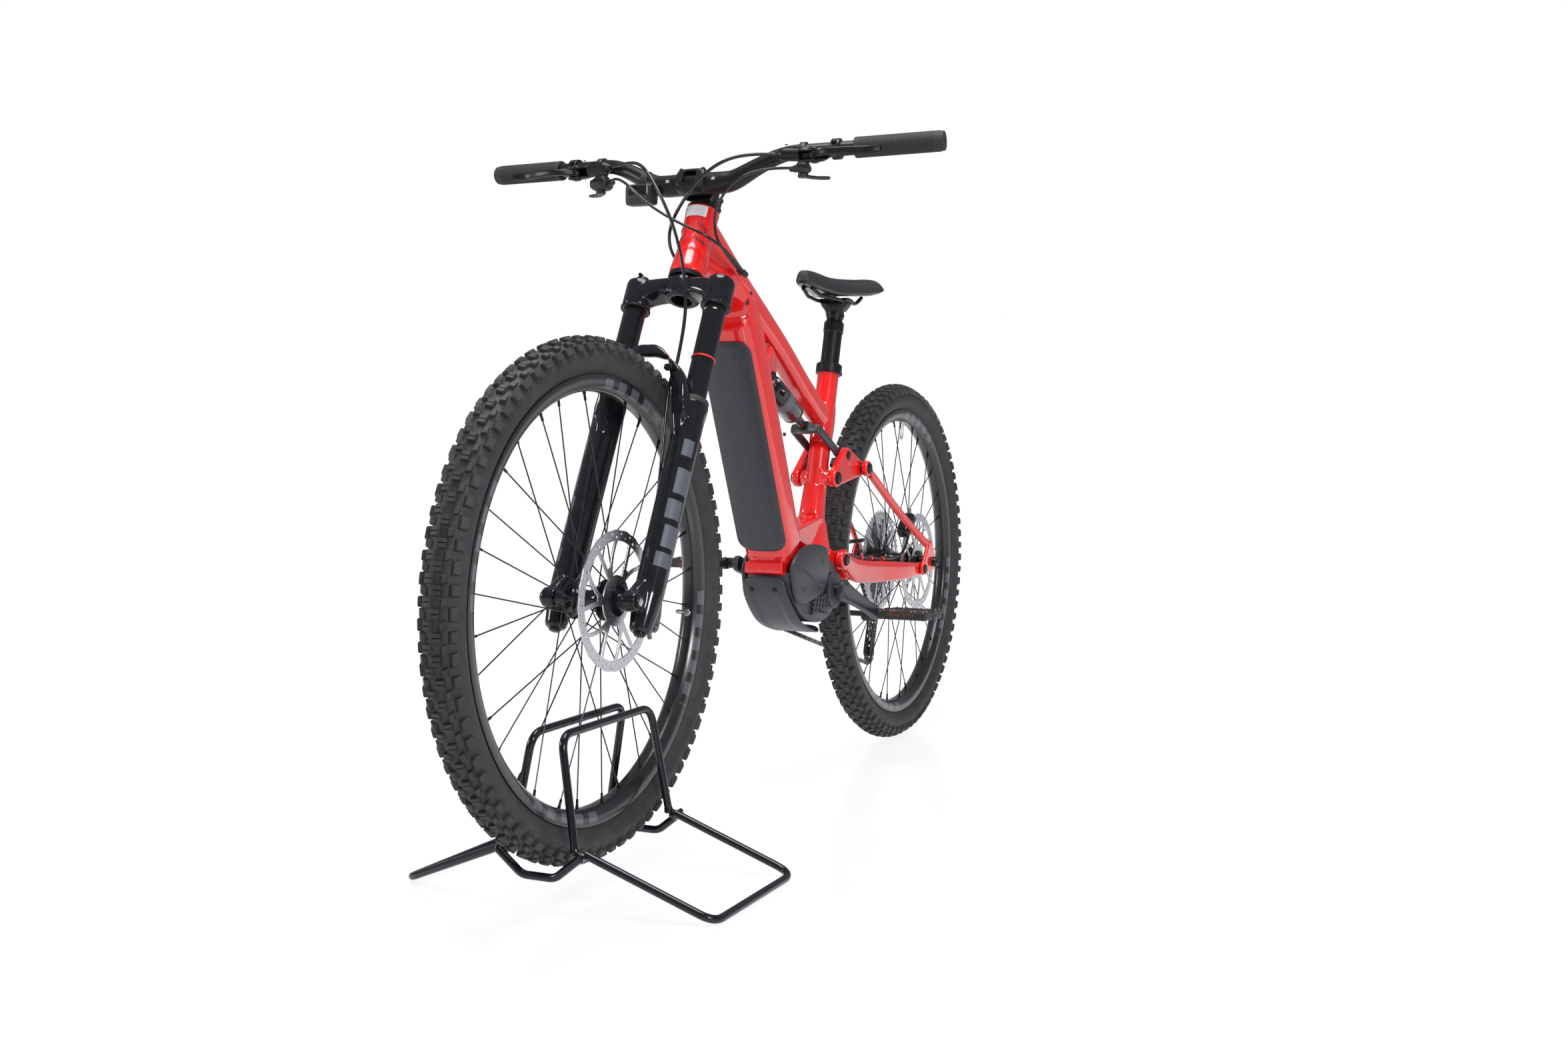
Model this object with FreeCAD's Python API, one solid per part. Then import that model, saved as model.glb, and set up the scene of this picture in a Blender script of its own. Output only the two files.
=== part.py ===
import FreeCAD, Part
import math
import os

# Full-suspension electric mountain bicycle standing in a wire display stand. Millimetres.
# +X is forward, +Y is the rider's left, +Z is up. The bicycle is laid out level, with both
# axles at wheel height, and tipped once about the rear axle because the stand lifts its nose.

# ---------------------------------------------------------------- driving sizes
WHEEL_R = 372.0          # outside of the tyre
WHEELBASE = 1222.0
FRONT_LIFT = 36.0        # the stand holds the front tyre this far off the floor
HEAD_ANGLE = 65.0
SEAT_ANGLE = 75.5
HEAD_X, HEAD_Z = 333.5, 857.3      # lower end of the head tube
HEAD_LENGTH = 121.0
FORK_OFFSET = 46.4
LEG_SPREAD = 70.0        # fork leg axis from the middle
LEG_LEAD = 13.0          # fork leg axis ahead of the steering axis
STANCHION_R = 17.5
FORK_TRAVEL = 140.0
BAR_WIDTH = 788.0
BAR_RISE = 45.0
BAR_R = 11.1
BAR_CLAMP_R = 17.5       # where the stem holds it
BAR_BULGE_R = 17.4       # free thick stretch beside the stem
BULGE_END = 52.0
STEM_HALF = 27.3
BULGE_FREE = BULGE_END - STEM_HALF
STEM_REACH = 42.0
STEM_HEIGHT = 144.0      # bar centre above the head tube's lower end, along the steerer
GRIP_LENGTH = 132.0
GRIP_R = 16.0
CRANK_LENGTH = 168.0
CRANK_ANGLE = 198.0      # left arm, from +X towards +Z
CHAINRING_TEETH = 36
COG_TEETH = 21
COGS = (51, 45, 39, 33, 28, 24, COG_TEETH, 18, 16, 14, 12, 11)
COG_STEP = 3.5
ROOT_DEPTH = 3.8         # from the chain's pitch circle down to the tooth roots
PULLEY_TEETH = 12
CHAIN_PITCH = 12.7
CHAIN_LINE = 55.0
CHAIN_WIDTH = 5.0
CHAIN_DEPTH = 6.8
COG_FIRST_Y = -CHAIN_LINE + 6 * COG_STEP
SEAT_X, SEAT_Z = -240.0, 756.0     # upper end of the seat tube
POST_R = 15.0            # sliding inner post
DROPPER_R = POST_R + 2.4          # fixed outer tube of the dropper post
DROPPER_DEPTH = 250.0
SEAT_TUBE_R = DROPPER_R + 2.6
POST_TRAVEL = 120.0
SADDLE_LENGTH = 256.0
SADDLE_HALF = 71.0
BB_X, BB_Z = -160.0, 339.0
MAIN_X, MAIN_Z = -203.0, 393.0     # chainstay pivot on the frame
HORST_X, HORST_Z = -562.0, 359.0   # chainstay to seatstay pivot
ROCK_X, ROCK_Z = -185.0, 545.0     # rocker pivot on the seat tube
STAY_X, STAY_Z = -305.5, 564.0     # seatstay to rocker pivot
SHOCK_X, SHOCK_Z = 52.0, 720.0     # shock eye on the frame
YOKE_X, YOKE_Z = -235.0, 588.0     # shock yoke to rocker pivot
TYRE_HALF = 30.0
RIM_HALF = 18.0
RIM_R = 317.6            # rim flange edge
SPOKES = 32
FRONT_HUB_HALF = 55.0
REAR_HUB_HALF = 74.0
ROTOR_R = 100.0
FRONT_AXLE_R = 7.5
REAR_AXLE_R = 6.0
AXLE_HEAD_R = 10.0
SPINDLE_R = 12.0         # crank spindle
PIVOT_R = 8.0            # main and rocker pins
HORST_R = 6.0
ROTOR_SEAT_R = 22.0      # centring lip on each hub
STEERER_R = 14.4
LEG_WALL = 5.0           # magnesium leg round each stanchion
ROD_R = 5.75             # stand wire
STAND_X0, STAND_X1 = 478.0, 739.0  # rear and front ends of the wheel cradle
STAND_TOP_X0, STAND_TOP_X1 = 484.0, 727.0
STAND_TOP_Z = 236.0
STAND_TOP_Y = 23.0
STAND_LOW_Z = 80.0
STAND_LOW_Y = 51.0
RAIL_Y = 247.0
RAIL_X0, RAIL_X1 = 465.0, 714.0
DIP_Z = 47.0
RUN = 0.05               # running clearance, on the radius
GAP = 0.4                # side clearance between moving bodies
TUBE_WALL = 3.0

V = FreeCAD.Vector
Y = V(0, 1, 0)
SIDES = (1, -1)
os.makedirs("parts", exist_ok=True)


# ---------------------------------------------------------------- helpers
def unit(v):
    out = V(v)
    out.normalize()
    return out


def rod(start, end, radius):
    return Part.makeCylinder(radius, (end - start).Length, start, unit(end - start))


def pipe(start, end, outer, inner):
    return rod(start, end, outer).cut(rod(start, end, inner))


def cone(start, end, r0, r1):
    return Part.makeCone(r0, r1, (end - start).Length, start, unit(end - start))


def block(x0, x1, y0, y1, z0, z1):
    return Part.makeBox(x1 - x0, y1 - y0, z1 - z0, V(x0, y0, z0))


def fuse(shapes):
    first = shapes[0]
    if len(shapes) == 1:
        return first
    return first.multiFuse(shapes[1:]).removeSplitter()


def face_xz(points, y):
    wire = Part.makePolygon([V(x, y, z) for x, z in points + points[:1]])
    return Part.Face(wire)


def plate(points, y0, y1, corner=0.0):
    """A flat plate cut to an outline in X and Z, its upright corners rounded."""
    solid = face_xz(points, y0).extrude(V(0, y1 - y0, 0))
    if corner:
        upright = [e for e in solid.Edges
                   if abs(abs(e.Vertexes[0].Y - e.Vertexes[1].Y) - (y1 - y0)) < 1e-6]
        solid = solid.makeFillet(corner, upright)
    return solid


def strap(discs, y0, y1):
    """Discs (x, z, radius) joined in a row by their common tangents, as one plate."""
    shapes = [rod(V(x, y0, z), V(x, y1, z), r) for x, z, r in discs]
    for (xa, za, ra), (xb, zb, rb) in zip(discs, discs[1:]):
        reach = math.hypot(xb - xa, zb - za)
        heading = math.atan2(zb - za, xb - xa)
        lean = math.acos((ra - rb) / reach)
        up = (math.cos(heading + lean), math.sin(heading + lean))
        down = (math.cos(heading - lean), math.sin(heading - lean))
        quad = [(xa + ra * up[0], za + ra * up[1]), (xb + rb * up[0], zb + rb * up[1]),
                (xb + rb * down[0], zb + rb * down[1]), (xa + ra * down[0], za + ra * down[1])]
        shapes.append(face_xz(quad, y0).extrude(V(0, y1 - y0, 0)))
    return fuse(shapes)


def turned(x, z, profile):
    """A ring turned about the Y line through (x, z) from a closed (radius, y) outline."""
    wire = Part.makePolygon([V(r, y, 0) for r, y in profile + profile[:1]])
    solid = Part.Face(wire).revolve(V(0, 0, 0), Y, 360)
    solid.translate(V(x, 0, z))
    return solid


def rounded(centre, across, along, width, height, corner):
    """A rounded rectangle wire."""
    a, b = unit(across), unit(along)
    w, h = width / 2, height / 2
    c = min(corner, w * 0.99, h * 0.99)
    k = c * (1 - math.sqrt(0.5))

    def at(u, v):
        return centre + a * u + b * v

    edges = []
    for su, sv in ((1, 1), (-1, 1), (-1, -1), (1, -1)):
        first = at(su * w, sv * (h - c)) if su * sv > 0 else at(su * (w - c), sv * h)
        last = at(su * (w - c), sv * h) if su * sv > 0 else at(su * w, sv * (h - c))
        edges.append(Part.Arc(first, at(su * (w - k), sv * (h - k)), last).toShape())
    joined = []
    for n, edge in enumerate(edges):
        joined.append(edge)
        end = edge.valueAt(edge.LastParameter)
        start = edges[(n + 1) % 4].valueAt(edges[(n + 1) % 4].FirstParameter)
        joined.append(Part.LineSegment(end, start).toShape())
    return Part.Wire(joined)


def loft(stations, corner_share=0.42):
    """Rounded box loft through (centre, across, along, width, height) stations."""
    wires = [rounded(c, a, b, w, h, corner_share * min(w, h)) for c, a, b, w, h in stations]
    return Part.makeLoft(wires, True, True)


def bent(points, radius, bend=None, report=None):
    """Round wire or hose: straight runs joined by tangent arcs, which a held hose reports."""
    points = [V(*p) for p in points]
    edges = []
    last = points[0]
    radii = []
    for before, corner, after in zip(points, points[1:], points[2:]):
        inward = unit(corner - before)
        outward = unit(after - corner)
        turn = math.acos(max(-1.0, min(1.0, inward.dot(outward))))
        shorter = min((corner - before).Length, (after - corner).Length)
        reach = 0.45 * shorter
        arc_r = reach / math.tan(turn / 2)
        if bend and bend < arc_r:
            arc_r = bend
            reach = bend * math.tan(turn / 2)
        radii.append(round(arc_r, 1))
        start = corner - inward * reach
        end = corner + outward * reach
        centre = corner + unit(outward - inward) * (arc_r / math.cos(turn / 2))
        middle = centre + unit(corner - centre) * arc_r
        edges.append(Part.LineSegment(last, start).toShape())
        edges.append(Part.Arc(start, middle, end).toShape())
        last = end
    edges.append(Part.LineSegment(last, points[-1]).toShape())
    path = Part.Wire(edges)
    ring = Part.Wire([Part.makeCircle(radius, points[0], unit(points[1] - points[0]))])
    solid = path.makePipeShell([ring], True, False)
    if report:
        want = math.pi * radius ** 2 * path.Length
        print(report, "radii", radii, "length", round(path.Length, 1), "volume share",
              round(solid.Volume / want, 4))
    return solid


def both(make):
    """The left and right copies of a piece that is made for side +1 or -1."""
    return [make(1), make(-1)]


# ---------------------------------------------------------------- frames of reference
REAR = V(-WHEELBASE / 2, 0, WHEEL_R)
FRONT = V(WHEELBASE / 2, 0, WHEEL_R)
HEAD = V(HEAD_X, 0, HEAD_Z)
STEER = V(-math.cos(math.radians(HEAD_ANGLE)), 0, math.sin(math.radians(HEAD_ANGLE)))
AHEAD = V(STEER.z, 0, -STEER.x)
SEAT = V(SEAT_X, 0, SEAT_Z)
POST_UP = V(-math.cos(math.radians(SEAT_ANGLE)), 0, math.sin(math.radians(SEAT_ANGLE)))
POST_BACK = V(-POST_UP.z, 0, POST_UP.x)
BB = V(BB_X, 0, BB_Z)
SHOCK = V(SHOCK_X, 0, SHOCK_Z)
YOKE = V(YOKE_X, 0, YOKE_Z)
SHOCK_DOWN = unit(YOKE - SHOCK)
SHOCK_UP = V(-SHOCK_DOWN.z, 0, SHOCK_DOWN.x)
NOSE_UP = math.degrees(math.asin(FRONT_LIFT / WHEELBASE))
TIP = FreeCAD.Placement(V(), FreeCAD.Rotation(Y, -NOSE_UP), REAR)
LEFT_CRANK = V(math.cos(math.radians(CRANK_ANGLE)), 0, math.sin(math.radians(CRANK_ANGLE)))


def fork(lead, side, up):
    """A point by its lead ahead of the steering axis, its side and its height along it."""
    return HEAD + AHEAD * lead + STEER * up + Y * side


def leg_at(side, up):
    """A point on one fork leg's axis."""
    return fork(LEG_LEAD, side * LEG_SPREAD, up)


def tipped(point):
    """Where a point of the level bicycle stands once its nose is lifted."""
    return TIP.multVec(point)


def pitch_radius(teeth):
    return CHAIN_PITCH / (2 * math.sin(math.pi / teeth))


NODES = {}


def add(name, shapes):
    NODES[name] = Part.Compound(shapes) if len(shapes) > 1 else shapes[0]


# ---------------------------------------------------------------- main frame
HEAD_OUT = 27.0
HEADSET_R = 22.0
DOWN_WIDTH, DOWN_DEPTH = 92.0, 76.0
COVER_WALL = 5.0


def down_tube():
    """Curves back from the head tube, then runs straight down to the motor."""
    neck = HEAD + STEER * 42
    elbow = V(190, 0, 822)
    low = V(6, 0, 432)
    heading = unit(low - elbow)
    back = V(-heading.z, 0, heading.x) * -1
    top = [(neck - AHEAD * 12, Y, STEER, 46, 78),
           (neck + V(-70, 0, -22), Y, V(0.25, 0, 1), 64, 74),
           (V(214, 0, 846), Y, V(0.55, 0, 0.83), 84, 72)]
    straight = [(V(176, 0, 797), Y, back, DOWN_WIDTH, DOWN_DEPTH),
                (V(92, 0, 618), Y, back, DOWN_WIDTH, DOWN_DEPTH + 4),
                (low, Y, back, DOWN_WIDTH, DOWN_DEPTH)]
    tube = loft(top + straight)
    head_bore = rod(HEAD - STEER * 60, HEAD + STEER * (HEAD_LENGTH + 60), HEAD_OUT + 0.2)
    bay = loft([(c, a, b, w - 2 * TUBE_WALL - 4, h - 2 * TUBE_WALL) for c, a, b, w, h in
                [(V(168, 0, 780), Y, back, DOWN_WIDTH, DOWN_DEPTH),
                 (V(20, 0, 462), Y, back, DOWN_WIDTH, DOWN_DEPTH)]], 0.25)
    window = loft([(V(168, 0, 780) - back * 30, Y, back, DOWN_WIDTH - 22, 60),
                   (V(20, 0, 462) - back * 30, Y, back, DOWN_WIDTH - 22, 60)], 0.1)
    return tube.cut(head_bore).cut(bay).cut(window), back, heading


DOWN_TUBE, DOWN_BACK, DOWN_HEADING = down_tube()


def bay_box(lift, width, height, top, bottom, corner):
    """A bar along the battery bay, lifted off the tube's middle line towards its back."""
    start = V(168, 0, 780) + DOWN_BACK * lift + DOWN_HEADING * top
    end = V(20, 0, 462) + DOWN_BACK * lift - DOWN_HEADING * bottom
    return loft([(start, Y, DOWN_BACK, width, height), (end, Y, DOWN_BACK, width, height)], corner)


add("battery_pack", [bay_box(3, 66, 52, 6, 6, 0.2)])
cover_skin = bay_box(-33, DOWN_WIDTH - 24, 12, 2, 2, 0.4)
cover_face = bay_box(-41.5, DOWN_WIDTH + 2, 5, -4, -30, 0.45)
add("battery_cover", [fuse([cover_skin, cover_face])])

head_shell = [cone(HEAD, HEAD + STEER * 24, 30, HEAD_OUT),
              cone(HEAD + STEER * 24, HEAD + STEER * 60, HEAD_OUT, 25),
              rod(HEAD + STEER * 60, HEAD + STEER * 100, 25),
              cone(HEAD + STEER * 100, HEAD + STEER * HEAD_LENGTH, 25, 27)]
head_tube = fuse(head_shell).cut(rod(HEAD - STEER, HEAD + STEER * (HEAD_LENGTH + 1), HEADSET_R))
DOWN_TUBE = DOWN_TUBE.cut(fuse(head_shell))
add("down_tube", [DOWN_TUBE])
add("head_tube", [head_tube])


def head_bearing(start, end, lip_start, lip_end, lip_r, bore):
    """A cup pressed into the head tube with its lip outside, both heights along the steerer."""
    cup = pipe(HEAD + STEER * start, HEAD + STEER * end, HEADSET_R, bore)
    return fuse([cup, pipe(HEAD + STEER * lip_start, HEAD + STEER * lip_end, lip_r, bore)])


TOP_OF_CUP = HEAD_LENGTH + 4
headset = [head_bearing(-7, 18, -7, 0, 29, 19.5),
           head_bearing(HEAD_LENGTH - 14, TOP_OF_CUP, HEAD_LENGTH, TOP_OF_CUP, 26, STEERER_R + RUN)]


def top_tube():
    path = [(V(283, 0, 931), 52, 42), (V(170, 0, 866), 42, 48), (V(0, 0, 775), 40, 42),
            (V(-110, 0, 707), 38, 40), (V(-190, 0, 664), 38, 44)]
    stations = [(c, Y, V(0.48, 0, -0.88), w, h) for c, w, h in path]
    tube = loft(stations).cut(loft([(c, a, b, w - 5, h - 5) for c, a, b, w, h in stations]))
    bracket = fuse([plate([(SHOCK_X - 14, SHOCK_Z + 46), (SHOCK_X + 22, SHOCK_Z + 64),
                           (SHOCK_X + 13, SHOCK_Z - 4),
                           (SHOCK_X, SHOCK_Z - 13), (SHOCK_X - 12, SHOCK_Z - 5)],
                          side * 15.5 - 3, side * 15.5 + 3, 4) for side in SIDES] +
                   [block(SHOCK_X - 8, SHOCK_X + 14, -18, 18, SHOCK_Z + 30, SHOCK_Z + 46)])
    bracket = bracket.cut(rod(V(SHOCK_X, -30, SHOCK_Z), V(SHOCK_X, 30, SHOCK_Z), 5))
    return tube.cut(fuse(head_shell)).cut(DOWN_TUBE), bracket


seat_bottom = SEAT - POST_UP * 322
seat_tube = rod(seat_bottom, SEAT, SEAT_TUBE_R)
top_tube_shell, shock_bracket = top_tube()
add("top_tube", [fuse([top_tube_shell, shock_bracket.cut(top_tube_shell)]).cut(seat_tube)])

MOTOR_LEFT, MOTOR_RIGHT = 46.0, 38.0


def motor_cradle():
    """Frame casting over the motor: a bridge plate across the top with the pivot lugs behind."""
    saddle = plate([(44, 398), (-2, 404), (-120, 412), (-180, 412), (-216, 406), (-218, 380), (-196, 376),
                    (-186, 352), (-172, 352), (-168, 396), (-110, 400), (10, 388), (30, 372), (44, 380)],
                   -36, 36)
    lug = rod(V(MAIN_X, -38, MAIN_Z), V(MAIN_X, 38, MAIN_Z), 17)
    roof = loft([(V(6, 0, 432), Y, DOWN_BACK, DOWN_WIDTH, DOWN_DEPTH),
                 (V(-4, 0, 408), Y, V(1, 0, 0.1), 84, 78)])
    web = plate([(-8, 442), (-120, 412), (-178, 410), (-190, 446), (-152, 470), (-60, 452)], -22, 22, 3)
    body = fuse([saddle, lug, web]).cut(rod(V(MAIN_X, -60, MAIN_Z), V(MAIN_X, 60, MAIN_Z), PIVOT_R))
    return roof.cut(DOWN_TUBE), body.cut(roof)


cradle_roof, cradle = motor_cradle()
add("motor_cradle", [fuse([cradle_roof, cradle]).cut(seat_tube).cut(DOWN_TUBE)])
post_bore = rod(seat_bottom + POST_UP * 40, SEAT + POST_UP, DROPPER_R + 0.2)
add("seat_tube", [seat_tube.cut(post_bore).cut(top_tube_shell)])
cradle_all = NODES["motor_cradle"]
motor_core = plate([(34, 380), (24, 344), (-22, 300), (-96, 282), (-152, 290), (-186, 318), (-180, 350),
                    (-178, 392), (-116, 396), (4, 382)], -MOTOR_RIGHT, MOTOR_LEFT, 5)
spindle_hole = rod(BB - Y * 90, BB + Y * 90, SPINDLE_R + RUN)
motor_core = fuse([motor_core, rod(BB - Y * 44, BB + Y * 54, 30)])
pivot_room = rod(V(MAIN_X, -60, MAIN_Z), V(MAIN_X, 60, MAIN_Z), 18)
add("motor_unit", [motor_core.cut(spindle_hole).cut(cradle_all).cut(pivot_room)])

SIDE_COVER = [(40, 398), (30, 350), (4, 322), (-60, 330), (-112, 346),
              (-140, 372), (-150, 396), (-120, 424), (-20, 430)]


def side_cover(side):
    wall = MOTOR_LEFT if side > 0 else MOTOR_RIGHT
    low, high = sorted((side * (wall + 0.2), side * (wall + 9)))
    shell = plate(SIDE_COVER, low, high, 8)
    return shell.cut(rod(BB - Y * 90, BB + Y * 90, 44)).cut(cradle_all)


add("motor_covers", both(side_cover))
skid = plate([(44, 372), (40, 338), (-18, 284), (-96, 264), (-140, 268), (-141, 277), (-97, 273),
              (-22, 292),
              (30, 344), (36, 374)], -40, 40)
add("skid_plate", [skid.cut(motor_core).cut(cradle_all)])


def frame_bolts():
    """Fixed pins that the moving links turn on."""
    main = fuse([rod(V(MAIN_X, 3.9 - CHAIN_LINE, MAIN_Z), V(MAIN_X, 57, MAIN_Z), PIVOT_R),
                 rod(V(MAIN_X, 55.4, MAIN_Z), V(MAIN_X, 59, MAIN_Z), 11)])
    eye = fuse([rod(V(SHOCK_X, -21, SHOCK_Z), V(SHOCK_X, 21, SHOCK_Z), 5)] +
               [rod(V(SHOCK_X, side * 18.7, SHOCK_Z), V(SHOCK_X, side * 22.5, SHOCK_Z), 8)
                for side in SIDES])
    rocker = [fuse([rod(V(ROCK_X, side * (SEAT_TUBE_R - 1), ROCK_Z), V(ROCK_X, side * 45, ROCK_Z),
                        PIVOT_R),
                    rod(V(ROCK_X, side * 44.4, ROCK_Z), V(ROCK_X, side * 48, ROCK_Z), 12)]).cut(seat_tube)
              for side in SIDES]
    return [main, eye] + rocker


collar_mid = SEAT - POST_UP * 7
collar_band = pipe(SEAT - POST_UP * 16, SEAT + POST_UP * 3, SEAT_TUBE_R + 4.5, SEAT_TUBE_R)
collar_bolt = rod(collar_mid - V(SEAT_TUBE_R + 5, 13, 6), collar_mid + V(-SEAT_TUBE_R - 5, 13, -6), 5)
collar_room = rod(SEAT - POST_UP * 30, SEAT + POST_UP * 30, SEAT_TUBE_R)
collar = [fuse([collar_band, collar_bolt]).cut(collar_room)]
add("frame_hardware", frame_bolts() + headset + collar)
post_base = SEAT - POST_UP * DROPPER_DEPTH
post_neck = SEAT + POST_UP * 84
add("dropper_outer", [fuse([rod(post_base, SEAT + POST_UP * 70, DROPPER_R),
                            rod(SEAT + POST_UP * 70, post_neck, DROPPER_R + 1.1)])
                      .cut(rod(post_base + POST_UP * 8, post_neck + POST_UP, POST_R + RUN))])


# ---------------------------------------------------------------- rear suspension
DRIVE_IN = CHAIN_LINE - 3.7       # everything fixed stays inside this beside the chainring


def chainstay_arm(side):
    near = [(-214, 388, 48, 40, 14), (-262, 371, 47, 46, 14), (-330, 364, 49, 44, 14)]
    if side < 0:
        near = [(-214, 388, 45.3, 40, 12), (-262, 371, 45.3, 46, 12), (-330, 364, 47, 44, 13)]
    stations = near + [(-390, 362, 53, 42, 15), (-490, 359, 68, 34, 12), (HORST_X, HORST_Z, 70, 26, 11)]
    arm = loft([(V(x, side * y, z), Y, V(0, 0, 1), t, d) for x, z, y, d, t in stations])
    reach = 55 if side > 0 else DRIVE_IN
    root_eye = rod(V(MAIN_X, side * 41, MAIN_Z), V(MAIN_X, side * reach, MAIN_Z), 20)
    tail_eye = rod(V(HORST_X, side * 64.5, HORST_Z), V(HORST_X, side * 75.5, HORST_Z), 13)
    return [arm, root_eye, tail_eye]


chainstay = fuse(chainstay_arm(1) + chainstay_arm(-1) + [block(-232, -222, -46, 46, 356, 378)])
chainstay = chainstay.cut(rod(V(MAIN_X, -70, MAIN_Z), V(MAIN_X, 70, MAIN_Z), PIVOT_R + RUN))
chainstay = chainstay.cut(rod(V(HORST_X, -90, HORST_Z), V(HORST_X, 90, HORST_Z), HORST_R + RUN))
chainstay = chainstay.cut(rod(V(MAIN_X, -41, MAIN_Z), V(MAIN_X, 41, MAIN_Z), 19))
add("chainstay", [chainstay])

DROPOUT_IN = 76.4


def seatstay_arm(side):
    stations = [(-318, 558, 53, 30, 11), (-360, 536, 54, 28, 12), (-455, 483, 60, 25, 13),
                (-540, 436, 70, 24, 12),
                (-596, 404, 80, 26, 9)]
    arm = loft([(V(x, side * y, z), Y, V(0.5, 0, 0.87), t, d) for x, z, y, d, t in stations])
    eye = rod(V(STAY_X, side * 47.2, STAY_Z), V(STAY_X, side * 59, STAY_Z), 15)
    low, high = sorted((side * DROPOUT_IN, side * 84))
    drop = strap([(-598, 404, 13), (REAR.x, REAR.z, 19), (HORST_X, HORST_Z, 13)], low, high)
    web = strap([(-598, 404, 13), (HORST_X, HORST_Z, 13)], low, high)
    boss = rod(V(REAR.x, side * REAR_HUB_HALF + side * 0.2, REAR.z), V(REAR.x, side * 84, REAR.z), 14)
    pin = rod(V(HORST_X, side * 65, HORST_Z), V(HORST_X, side * 87, HORST_Z), HORST_R)
    cap = rod(V(HORST_X, side * 84, HORST_Z), V(HORST_X, side * 87, HORST_Z), 10)
    solid = fuse([arm, eye, drop, web, boss, pin, cap])
    return solid.cut(rod(V(REAR.x, -120, REAR.z), V(REAR.x, 120, REAR.z), REAR_AXLE_R))


add("seatstay", both(seatstay_arm))


def rocker_side(side):
    low, high = sorted((side * 30.2, side * 44))
    discs = [(ROCK_X, ROCK_Z, 17), (YOKE_X, YOKE_Z, 15), (STAY_X, STAY_Z, 14)]
    body = fuse([strap(discs, low, high), strap([discs[0], discs[2]], low, high)])
    return body.cut(rod(V(ROCK_X, -60, ROCK_Z), V(ROCK_X, 60, ROCK_Z), PIVOT_R + RUN))


def rocker_pins(side):
    """Stub pins for the two open pivots: they stop short of the links they carry."""
    tail = rod(V(STAY_X, side * 44, STAY_Z), V(STAY_X, side * 46.8, STAY_Z), 11)
    return fuse([rocker_side(side), tail])


add("rocker_link", both(rocker_pins))

CAN_END, SHAFT_END = 142.0, 200.0
EYE_TO_YOKE = (YOKE - SHOCK).Length
shock_can = fuse([rod(SHOCK + SHOCK_DOWN * 19, SHOCK + SHOCK_DOWN * 34, 15),
                  rod(SHOCK + SHOCK_DOWN * 30, SHOCK + SHOCK_DOWN * CAN_END, 21),
                  rod(SHOCK - Y * 12, SHOCK + Y * 12, 12), rod(SHOCK, SHOCK + SHOCK_DOWN * 24, 10)])
shock_can = shock_can.cut(rod(SHOCK - Y * 30, SHOCK + Y * 30, 5 + RUN))
shock_can = shock_can.cut(rod(SHOCK + SHOCK_DOWN * 60, SHOCK + SHOCK_DOWN * (CAN_END + 1), 8 + RUN))
add("shock_body", [shock_can])


def shock_yoke():
    shaft = rod(SHOCK + SHOCK_DOWN * 110, SHOCK + SHOCK_DOWN * (SHAFT_END + 1), 8)
    head = SHOCK + SHOCK_DOWN * 194
    bridge = loft([(head - SHOCK_DOWN * 4, Y, SHOCK_UP, 24, 24),
                   (head + SHOCK_DOWN * 12, Y, SHOCK_UP, 59, 20)])
    shapes = [shaft, bridge]
    for side in SIDES:
        knee = SHOCK + SHOCK_DOWN * 203 + Y * side * 25.5
        eye = YOKE + Y * side * 25.5
        shapes.append(loft([(knee - SHOCK_DOWN * 4, Y, SHOCK_UP, 8, 20), (eye, Y, SHOCK_UP, 8, 18)]))
        shapes.append(rod(YOKE + Y * side * 21.5, YOKE + Y * side * 29.5, 11))
    return fuse(shapes)


add("shock_shaft", [shock_yoke()])

add("rear_axle", [fuse([rod(V(REAR.x, -92, REAR.z), V(REAR.x, 92, REAR.z), REAR_AXLE_R),
                        rod(V(REAR.x, 84.2, REAR.z), V(REAR.x, 94, REAR.z), AXLE_HEAD_R),
                        rod(V(REAR.x, -94, REAR.z), V(REAR.x, -84.2, REAR.z), AXLE_HEAD_R)])])


def caliper(centre, y_mid, turn, outboard):
    """Two-piston brake caliper over the edge of a rotor, with a slot for it."""
    body = Part.makeBox(58, 17 + outboard, 30, V(-29, y_mid - 17, -15))
    body = body.makeFillet(6, [e for e in body.Edges if abs(e.Vertexes[0].Y - e.Vertexes[1].Y) > 1])
    body = body.cut(Part.makeBox(80, 4.4, 24, V(-40, y_mid - 2.2, -16)))
    body.Placement = FreeCAD.Placement(V(centre.x, 0, centre.z), FreeCAD.Rotation(Y, turn))
    return body


REAR_ROTOR_Y, FRONT_ROTOR_Y = 50.0, 40.0
rear_caliper_at = REAR + V(62, 0, 76)
add("rear_caliper", [caliper(rear_caliper_at, REAR_ROTOR_Y, 40, 10.5)])

PULLEY_PIN_R = 4.0
CAGE_PIN_R = 6.0
HANGER = V(-634, -79, 330)
CAGE_PIVOT = V(-652, -57, 252)
GUIDE = V(-634, -CHAIN_LINE, 264)
TENSION = V(-604, -CHAIN_LINE, 176)
derailleur = fuse([strap([(REAR.x, REAR.z, 15), (HANGER.x, HANGER.z, 10)], -90, -84.4)
                   .cut(rod(V(REAR.x, -120, REAR.z), V(REAR.x, 120, REAR.z), AXLE_HEAD_R + 0.2)),
                   strap([(HANGER.x, HANGER.z, 12), (-668, 290, 11), (CAGE_PIVOT.x, CAGE_PIVOT.z, 15)],
                         -93, -66),
                   rod(V(HANGER.x, -98, HANGER.z), V(HANGER.x, -84, HANGER.z), 9)])
add("derailleur_body", [derailleur.cut(rod(CAGE_PIVOT - Y * 40, CAGE_PIVOT + Y * 40, CAGE_PIN_R + RUN))])
cage_discs = [(CAGE_PIVOT.x, CAGE_PIVOT.z, 11), (GUIDE.x, GUIDE.z, 10), (TENSION.x, TENSION.z, 10)]
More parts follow.
